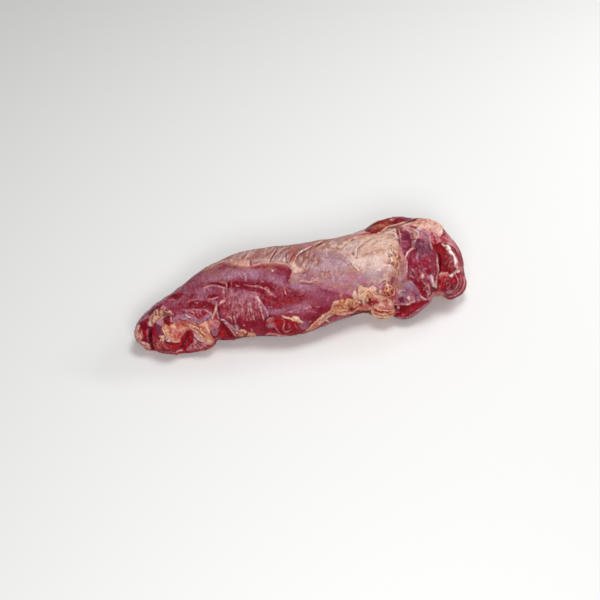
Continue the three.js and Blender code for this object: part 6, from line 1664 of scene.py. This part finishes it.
def finish_of(p, normal, edges):
    """Colour, what it is made of, height and how far it is seen, at each point."""
    facing, clear = in_view(p, normal, TREE)
    seen = even((ramp(facing, -0.15, 0.02) * clear)[:, None], edges, 0.6, 2)[:, 0]
    x, y, z = p.T
    gaps = np.sort(meat(p, parts=True)[1], axis=1)
    crease = np.exp(-(((gaps[:, 1] - gaps[:, 0]) / 4.0) ** 2)) * ramp(-np.abs(gaps[:, 1]), -9, -4)
    wide = [lattice_noise(p, s, 40 + k, 3) for k, s in enumerate((34.0, 22.0, 13.0, 8.0))]
    ink = np.stack([
        (lattice_noise(p, 2.6, 61, 2) * 1.5).clip(-1, 1),
        (lattice_noise(p, 3.6, 62, 2) * 1.5).clip(-1, 1),
        lattice_noise(p, 1.6, 63, 1),
    ], 1)
    colour = np.tile(dye("wine"), (len(p), 1))
    stuff = np.zeros((len(p), 3))
    height = np.zeros(len(p))

    def put(name, amount):
        lay(name, amount, ink, colour, stuff)

    put("muscle/brick", ramp(wide[1], -0.1, 0.25) * 0.8)
    put("cherry/wine", ramp(wide[2], 0.0, 0.3) * 0.6)
    put("mauve/muscle", ramp(wide[0], 0.05, 0.3) * 0.7)
    put("blood", ramp(wide[3], 0.12, 0.35) * 0.5)
    # both ends are redder
    ends = np.maximum(ramp(x, 92, 108), ramp(-x, 112, 130))
    put("cherry/wine", ends * 0.7)
    put("blood/cherry", ends * ramp(wide[3], -0.05, 0.2) * 0.8)
    put("muscle/plum", ends * ramp(wide[2], 0.12, 0.36) * 0.6)
    # the silverskin wraps over the back as far as the straps
    lower = np.interp(x, [-112, -96, -60, -20, 30, 80, 104], [62, 44, 33, 28, 27, 32, 46]) + 5 * wide[1] * 2 + 2.5 * wide[3] * 2
    over = ramp(z - lower, -1.2, 1.2) * ramp(y - middle_y(x), -6, 6) * ramp(x, -110, -104) * ramp(-x, -106, -100)
    put("rose/fawn", over)
    put("bone/mist", over * ramp(x + 20 * wide[1], 0, 60) * 0.85)
    put("mist/dusk", over * ramp(wide[2], 0.0, 0.3) * 0.5)
    # long slanting folds in it, out of the camera's sight
    arc = arc_of(p)
    across = np.stack([x - 0.71 * arc, arc * 0.13, 4.0 * wide[3]], 1)
    for k, (name, up) in enumerate((("bone", 0.3), ("umber", -0.3))):
        fold = over * (1 - seen) * np.exp(-((lattice_noise(across, 3.6, 72 + k, 2) / 0.06) ** 2))
        put(name, fold * 0.5)
        height += fold * up
    height += over * 0.5
    rim = np.exp(-(((z - lower) / 1.6) ** 2)) * ramp(y - middle_y(x), -2, 6) * ramp(x, -108, -100) * ramp(-x, -106, -100)
    put("gold/cream", rim * ramp(ink[:, 0], -0.7, 0.0) * 0.9)
    height += rim * 0.4
    # fat in the creases, and in flat patches low on the back and underneath
    hidden = 1 - seen
    fat = crease * ramp(wide[2] + 0.5 * wide[3], -0.12, 0.1) * hidden
    put("apricot/cream", fat)
    height += fat * 1.1
    flat = hidden * ramp(-z, -30, -18) * ramp(wide[1] + 0.6 * wide[3], 0.23, 0.31) * (1 - over)
    put("cream/apricot", flat)
    height += flat * 0.8
    edge = hidden * ramp(-z, -34, -22) * (1 - over) * np.exp(-(((wide[1] + 0.6 * wide[3] - 0.22) / 0.035) ** 2))
    put("rust/ember", edge * 0.7)
    sheet = hidden * (1 - over) * ramp(wide[0] - 0.4 * wide[3], 0.1, 0.26) * (1 - flat)
    put("rose/muscle", sheet * 0.6)
    vein = hidden * (1 - over) * np.exp(-((lattice_noise(p * (1, 1.0, 1.0), 17.0, 71, 2) / 0.018) ** 2))
    put("blush", vein * 0.7)
    height += vein * 0.25
    tone = hidden * ends * ramp(wide[1] - 0.3 * wide[2], 0.23, 0.31)
    put("apricot/cream", tone * 0.9)
    height += tone * 0.9

    # the marks are placed where the raised surface is seen, so their own height is found first
    lift = height.copy()
    paint(to_px(p), ink, colour.copy(), stuff.copy(), lift, seen)
    lift = even((lift + swell_of(p) - SINK)[:, None], edges, 0.6, 3)
    paint(to_px(p + normal * lift * ramp(z, 2.0, 8.0)[:, None]), ink, colour, stuff, height, seen)
    return colour, stuff, height, seen


COLOUR, STUFF, HEIGHT, SEEN = finish_of(P, NORMAL, EDGES)
# the finest triangles go where the paint or the relief changes fastest
change = np.abs(np.sqrt(COLOUR[TRIS]) - np.sqrt(COLOUR[TRIS[:, [1, 2, 0]]])).sum(2)
change += 0.12 * np.abs(HEIGHT[TRIS] - HEIGHT[TRIS[:, [1, 2, 0]]])
rank = np.argsort(-(change.max(1) * SEEN[TRIS].mean(1)))
few, many = 0, len(rank)
while many - few > 500:
    n = (few + many) // 2
    chosen = np.zeros(len(TRIS), bool)
    chosen[rank[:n]] = True
    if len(split_triangles(P, TRIS, chosen)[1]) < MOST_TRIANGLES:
        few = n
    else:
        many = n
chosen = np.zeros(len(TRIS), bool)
chosen[rank[:few]] = True
P, TRIS, _ = split_triangles(P, TRIS, chosen)
EDGES = edges_of(TRIS)
P = settle(even(settle(P), EDGES, 0.25))
NORMAL = tri_normals(P, TRIS)
COLOUR, STUFF, HEIGHT, SEEN = finish_of(P, NORMAL, EDGES)
PX = to_px(P)
X, Y, Z = P.T
NY, NZ = NORMAL[:, 1], NORMAL[:, 2]
print("skin", len(P), "points", len(TRIS), "triangles")

# ---- relief ----------------------------------------------------------------
is_fat, is_skin, is_thin_and_glint = STUFF.T
lump = lattice_noise(P, 5.0, 81, 2) * (0.3 + 0.9 * is_fat - 0.1 * is_skin)
lump += lattice_noise(P, 2.4, 82, 1) * (0.1 + 0.4 * is_fat - 0.05 * is_skin)
SHINE = np.zeros(len(P))  # where it is wettest
for x, y, rx, ry, turn, a in WET:
    c, z = math.cos(turn), math.sin(turn)
    dx, dy = PX[:, 0] - x, PX[:, 1] - y
    r = np.hypot((c * dx + z * dy) / rx, (-z * dx + c * dy) / ry)
    SHINE = np.maximum(SHINE, ramp(-r, -1.25, -0.75) * a * SEEN)
HEIGHT += lump * ramp(Z, 1.0, 5.0) * (1 - 0.8 * SHINE)
HEIGHT += (swell_of(P) - SINK) * ramp(Z, 2.0, 8.0)
HEIGHT = np.clip(HEIGHT, -6, 4.5)
# nothing moves the flat underside, and nothing leaves the solid's box by more than fat may
HEIGHT = np.where((Z < 1.0) & (NZ < -0.6), np.minimum(HEIGHT, 0) * 0.2, HEIGHT)
P = P + NORMAL * HEIGHT[:, None]
P[:, 2] = np.maximum(P[:, 2], 0.0)

# ---- grain: across the fibres, along them, in millimetres -------------------
arc = arc_of(P)
lean = 0.29 + 0.42 * is_skin
GRAIN = np.stack([X - lean * arc, arc, SHINE], 1)
BUSY = np.maximum(np.maximum(ramp(X, 78, 100), ramp(-X, 88, 104)), is_fat)  # where the small contrasts are strong


def mesh_object(name, points, faces, shift=True):
    """A smooth mesh from points in the field's millimetres."""
    me = bpy.data.meshes.new(name)
    pts = ((points + SHIFT) * 0.001).astype(np.float32)
    me.vertices.add(len(pts))
    me.vertices.foreach_set("co", pts.ravel())
    k = faces.shape[1]
    me.loops.add(faces.size)
    me.loops.foreach_set("vertex_index", faces.astype(np.int32).ravel())
    me.polygons.add(len(faces))
    me.polygons.foreach_set("loop_start", np.arange(0, faces.size, k, dtype=np.int32))
    me.polygons.foreach_set("use_smooth", np.ones(len(faces), bool))
    me.update(calc_edges=True)
    me.validate()
    o = bpy.data.objects.new(name, me)
    bpy.context.scene.collection.objects.link(o)
    return o


def put_colour(o, name, values):
    a = o.data.attributes.new(name, "FLOAT_COLOR", "POINT")
    v = np.ones((len(values), 4), np.float32)
    v[:, :3] = values
    a.data.foreach_set("color", v.ravel())


def put_vector(o, name, values):
    a = o.data.attributes.new(name, "FLOAT_VECTOR", "POINT")
    a.data.foreach_set("vector", np.asarray(values, np.float32).ravel())


meat_piece = mesh_object("meat", P, TRIS)
put_colour(meat_piece, "paint", COLOUR)
put_vector(meat_piece, "stuff", STUFF)
put_vector(meat_piece, "grain", GRAIN)
put_vector(meat_piece, "busy", np.stack([BUSY, SEEN, BUSY], 1))


# ---- the material ------------------------------------------------------------
class Nodes:
    """Short names for building a node tree."""

    def __init__(self, name):
        self.material = bpy.data.materials.new(name)
        self.material.use_nodes = True
        self.tree = self.material.node_tree
        self.shader = self.tree.nodes["Principled BSDF"]

    def link(self, value, socket):
        if hasattr(value, "node"):
            self.tree.links.new(value, socket)
        else:
            socket.default_value = value

    def new(self, kind, **settings):
        n = self.tree.nodes.new(kind)
        for k, v in settings.items():
            setattr(n, k, v)
        return n

    def attribute(self, name, output="Color"):
        return self.new("ShaderNodeAttribute", attribute_name=name).outputs[output]

    def split(self, vector):
        n = self.new("ShaderNodeSeparateXYZ")
        self.link(vector, n.inputs[0])
        return n.outputs

    def join(self, x, y, z):
        n = self.new("ShaderNodeCombineXYZ")
        for v, s in zip((x, y, z), n.inputs):
            self.link(v, s)
        return n.outputs[0]

    def math(self, op, a, b=0.0, c=0.0, clamp=False):
        n = self.new("ShaderNodeMath", operation=op, use_clamp=clamp)
        for v, s in zip((a, b, c), n.inputs):
            self.link(v, s)
        return n.outputs[0]

    def noise(self, vector, scale, detail=2.0, rough=0.5, distort=0.0):
        n = self.new("ShaderNodeTexNoise")
        self.link(vector, n.inputs["Vector"])
        n.inputs["Scale"].default_value = scale
        n.inputs["Detail"].default_value = detail
        n.inputs["Roughness"].default_value = rough
        n.inputs["Distortion"].default_value = distort
        return n.outputs["Fac"]

    def cells(self, vector, scale, feature="F1", output="Distance", spread=1.0):
        n = self.new("ShaderNodeTexVoronoi", feature=feature)
        self.link(vector, n.inputs["Vector"])
        n.inputs["Scale"].default_value = scale
        if feature == "SMOOTH_F1":
            n.inputs["Smoothness"].default_value = 0.6
        n.inputs["Randomness"].default_value = spread
        return n.outputs[output]

    def ramp(self, value, lo, hi, a=0.0, b=1.0):
        n = self.new("ShaderNodeMapRange", interpolation_type="SMOOTHSTEP")
        for v, s in zip((value, lo, hi, a, b), n.inputs):
            self.link(v, s)
        return n.outputs[0]

    def mix(self, amount, a, b, kind="MIX"):
        n = self.new("ShaderNodeMix", data_type="RGBA", blend_type=kind, clamp_factor=True)
        self.link(amount, n.inputs[0])
        for v, s in ((a, n.inputs[6]), (b, n.inputs[7])):
            self.link((*v, 1.0) if isinstance(v, tuple) and len(v) == 3 else v, s)
        return n.outputs[2]

    def bright(self, colour, factor):
        n = self.new("ShaderNodeVectorMath", operation="SCALE")
        self.link(colour, n.inputs[0])
        self.link(factor, n.inputs["Scale"])
        return n.outputs[0]

    def bump(self, height, distance, strength=1.0, normal=None):
        n = self.new("ShaderNodeBump")
        n.inputs["Strength"].default_value = strength
        n.inputs["Distance"].default_value = distance
        self.link(height, n.inputs["Height"])
        if normal is not None:
            self.link(normal, n.inputs["Normal"])
        return n.outputs[0]


def rgb(h):
    return tuple(float(c) for c in linear(h))


m = Nodes("meat")
where = m.new("ShaderNodeTexCoord").outputs["Object"]  # metres
mm = m.bright(where, 1000.0)
paint_colour = m.attribute("paint")
fat_s, skin_s, thin_and_glint_s = m.split(m.attribute("stuff", "Vector"))
gx, gy, shine_s = m.split(m.attribute("grain", "Vector"))
flesh_s = m.math("SUBTRACT", 1.0, m.math("ADD", m.math("ADD", fat_s, skin_s), thin_and_glint_s), clamp=True)
fibre_at = m.join(gx, m.math("MULTIPLY", gy, 0.16), 0.0)
fibre = m.noise(fibre_at, 1.15, 3.0, 0.6)
fine_fibre = m.noise(m.join(gx, m.math("MULTIPLY", gy, 0.09), 7.0), 2.6, 2.0, 0.5)
mottle = m.noise(mm, 0.55, 4.0, 0.62)
speck = m.noise(mm, 1.7, 2.0, 0.6)
broad = m.noise(mm, 0.12, 2.0, 0.5)
fleck = m.noise(m.join(gx, m.math("MULTIPLY", gy, 0.26), 13.0), 0.8, 1.0, 0.5)
web = m.noise(m.join(gx, m.math("MULTIPLY", gy, 0.4), 29.0), 0.2, 2.0, 0.55, 0.7)
web = m.ramp(m.math("ABSOLUTE", m.math("SUBTRACT", web, 0.5)), 0.02, 0.004)
crumb = m.noise(mm, 0.72, 1.0, 0.5)

# muscle: mottled, faintly fibrous, with pale threads and dark pits
tone = m.ramp(mottle, 0.3, 0.7, 0.68, 1.2)
tone = m.math("MULTIPLY", tone, m.ramp(fibre, 0.3, 0.7, 0.86, 1.14))
busy, seen_s, _ = m.split(m.attribute("busy", "Vector"))
dim = m.math("SUBTRACT", 0.88, m.math("MULTIPLY", busy, 0.2))
lit = m.math("ADD", 1.12, m.math("MULTIPLY", busy, 0.24))
tone = m.math("MULTIPLY", tone, m.ramp(fleck, 0.34, 0.66, dim, lit))
muscle_colour = m.bright(paint_colour, tone)
thread = m.math("MULTIPLY", m.ramp(fine_fibre, 0.6, 0.74), m.ramp(broad, 0.42, 0.6))
thread = m.math("MULTIPLY", thread, m.ramp(m.split(paint_colour)[1], 0.02, 0.09))
muscle_colour = m.mix(m.math("MULTIPLY", thread, 0.25), muscle_colour, rgb("#c791a0"))
web = m.math("MULTIPLY", m.math("MULTIPLY", web, m.ramp(speck, 0.35, 0.6)), m.ramp(m.split(paint_colour)[1], 0.015, 0.06))
web = m.math("MULTIPLY", web, m.math("ADD", m.math("MULTIPLY", busy, 0.6), 0.4))
muscle_colour = m.mix(m.math("MULTIPLY", web, 0.27), muscle_colour, rgb("#cf98a2"))
pit = m.ramp(speck, 0.36, 0.28)
muscle_colour = m.mix(m.math("MULTIPLY", pit, 0.5), muscle_colour, rgb("#4c0a14"))
# silverskin: fine parallel striae, cooler and warmer by turns
stria = m.noise(m.join(gx, m.math("MULTIPLY", gy, 0.06), 3.0), 1.1, 3.0, 0.65)
skin_colour = m.bright(paint_colour, m.math("MULTIPLY", m.ramp(stria, 0.28, 0.72, 0.84, 1.1), m.ramp(crumb, 0.34, 0.66, 0.84, 1.14)))
skin_colour = m.mix(m.math("MULTIPLY", m.ramp(stria, 0.5, 0.3), 0.13), skin_colour, rgb("#8c4f4d"))
skin_colour = m.mix(m.math("MULTIPLY", m.ramp(mottle, 0.54, 0.7), 0.22), skin_colour, rgb("#d8c4ba"))
vessel = m.math("ABSOLUTE", m.math("SUBTRACT", m.noise(mm, 0.16, 3.0, 0.55, 0.6), 0.5))
skin_colour = m.mix(m.math("MULTIPLY", m.ramp(vessel, 0.022, 0.004), 0.3), skin_colour, rgb("#9c4a4c"))
# fat: soft crumpled ridges, redder in the creases between them
grain_cells = m.cells(mm, 0.5, "SMOOTH_F1")
crumple = m.math("ABSOLUTE", m.math("SUBTRACT", m.noise(mm, 0.24, 3.0, 0.6, 0.9), 0.5))
wrinkle = m.math("ABSOLUTE", m.math("SUBTRACT", m.noise(m.join(gx, gy, 5.0), 0.62, 2.0, 0.5, 0.5), 0.5))
uneven = m.math("ADD", 0.07, m.math("MULTIPLY", seen_s, 0.13))
fat_colour = m.bright(paint_colour, m.math("MULTIPLY", m.ramp(mottle, 0.3, 0.7, 0.96, 1.28), m.ramp(crumb, 0.34, 0.66, m.math("SUBTRACT", 1.0, uneven), m.math("ADD", 1.0, uneven))))
fat_colour = m.mix(m.math("MULTIPLY", m.ramp(crumple, 0.04, 0.005), 0.42), fat_colour, rgb("#a8482e"))
fat_colour = m.mix(m.math("MULTIPLY", m.ramp(wrinkle, 0.04, 0.01), 0.24), fat_colour, rgb("#b0563a"))
fat_colour = m.mix(m.math("MULTIPLY", m.ramp(crumple, 0.1, 0.2), 0.22), fat_colour, rgb("#f4d8b4"))
# membranes, and the glints and highlights painted as membrane: as painted, a little uneven
thin_and_glint_colour = m.bright(paint_colour, m.math("MULTIPLY", m.ramp(speck, 0.3, 0.7, 0.85, 1.12), m.ramp(crumb, 0.34, 0.66, 0.84, 1.18)))
colour = m.mix(skin_s, muscle_colour, skin_colour)
colour = m.mix(fat_s, colour, fat_colour)
colour = m.mix(thin_and_glint_s, colour, thin_and_glint_colour)
m.link(colour, m.shader.inputs["Base Color"])

rough = m.ramp(mottle, 0.3, 0.7, 0.46, 0.3)
rough = m.math("ADD", rough, m.math("MULTIPLY", fat_s, 0.1))
rough = m.math("SUBTRACT", rough, m.math("MULTIPLY", skin_s, 0.02))
m.link(rough, m.shader.inputs["Roughness"])

# relief: fibres and wet pits on muscle, grains on fat, striae on silverskin
fat_up = m.math("ADD", m.ramp(crumple, 0.0, 0.16, 0.0, 1.1), m.ramp(wrinkle, 0.0, 0.12, 0.0, 0.4))
fat_up = m.math("SUBTRACT", fat_up, m.math("MULTIPLY", grain_cells, 0.5))
relief = m.math("MULTIPLY", flesh_s, m.math("ADD", m.math("MULTIPLY", mottle, 0.7), m.math("ADD", m.math("MULTIPLY", fibre, 0.4), m.math("MULTIPLY", fleck, 0.5))))
relief = m.math("ADD", relief, m.math("MULTIPLY", fat_s, fat_up))
relief = m.math("ADD", relief, m.math("MULTIPLY", skin_s, m.math("MULTIPLY", stria, 0.14)))
relief = m.math("ADD", relief, m.math("MULTIPLY", speck, m.math("SUBTRACT", 0.16, m.math("MULTIPLY", skin_s, 0.11))))
relief = m.math("MULTIPLY", relief, m.math("SUBTRACT", 1.0, m.math("MULTIPLY", shine_s, 0.75)))
m.link(m.bump(relief, 0.0007, 0.8), m.shader.inputs["Normal"])
m.shader.inputs["Subsurface Weight"].default_value = 0.06
m.shader.inputs["Subsurface Radius"].default_value = (1.0, 0.35, 0.25)
m.shader.inputs["Subsurface Scale"].default_value = 0.003
m.shader.inputs["Specular IOR Level"].default_value = 0.09
up = m.split(m.new("ShaderNodeNewGeometry").outputs["Normal"])[2]
wet = m.math("MULTIPLY", m.ramp(up, -0.1, 0.75), m.ramp(m.noise(mm, 0.2, 3.0, 0.6), 0.46, 0.64, 0.2, 1.0))
wet = m.math("MULTIPLY", m.math("MULTIPLY", wet, 0.08), m.math("SUBTRACT", 1.0, m.math("MULTIPLY", skin_s, 0.4)))
m.link(m.math("MAXIMUM", wet, shine_s), m.shader.inputs["Coat Weight"])
m.shader.inputs["Coat Roughness"].default_value = 0.15
m.shader.inputs["Coat IOR"].default_value = 1.7
meat_piece.data.materials.append(m.material)
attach(meat_piece, "root")
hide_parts("tenderloin")

# ---- floor, light, camera --------------------------------------------------
floor_mesh = bpy.data.meshes.new("floor")
floor_mesh.from_pydata([(-3, -3, 0), (3, -3, 0), (3, 3, 0), (-3, 3, 0)], [], [(0, 1, 2, 3)])
floor = bpy.data.objects.new("floor", floor_mesh)
bpy.context.scene.collection.objects.link(floor)
fm = bpy.data.materials.new("floor")
fm.use_nodes = True
fb = fm.node_tree.nodes["Principled BSDF"]
fb.inputs["Base Color"].default_value = (0.8, 0.8, 0.79, 1)
fb.inputs["Roughness"].default_value = 0.8
floor_mesh.materials.append(fm)

world = bpy.data.worlds.new("world")
bpy.context.scene.world = world
world.use_nodes = True
world.node_tree.nodes["Background"].inputs["Color"].default_value = (1, 1, 1, 1)
world.node_tree.nodes["Background"].inputs["Strength"].default_value = 0.25


def lamp(name, at, to, size, power, along=(0, 0, 1)):
    """A soft panel; its second size runs along the direction given."""
    light = bpy.data.lights.new(name, "AREA")
    light.shape = "RECTANGLE"
    light.size, light.size_y = size
    light.energy = power
    o = bpy.data.objects.new(name, light)
    o.location = at
    z = (Vector(at) - Vector(to)).normalized()
    x = Vector(along).cross(z).normalized()
    o.rotation_euler = Matrix((x, z.cross(x), z)).transposed().to_euler()
    bpy.context.scene.collection.objects.link(o)
    return o


lamp("top", (0.2, 0.1, 1.3), (0, 0, 0.03), (0.45, 0.45), 8, (0, 1, 0))
lamp("front", (-0.25, -1.15, 0.85), (0, 0, 0.03), (0.6, 0.4), 10.5)
lamp("right", (1.06, 0.25, 0.6), (0.16, -0.03, 0.055), (0.14, 0.8), 5, (0.3, -0.57, -0.21))

cam_data = bpy.data.cameras.new("camera")
cam_data.lens = LENS
cam_data.sensor_width = SENSOR
camera = bpy.data.objects.new("camera", cam_data)
camera.location = Vector((EYE + SHIFT) * 0.001)
camera.rotation_euler = Vector(-BACK).to_track_quat("-Z", "Y").to_euler()
bpy.context.scene.collection.objects.link(camera)
bpy.context.scene.camera = camera
bpy.context.scene.view_settings.view_transform = "Standard"
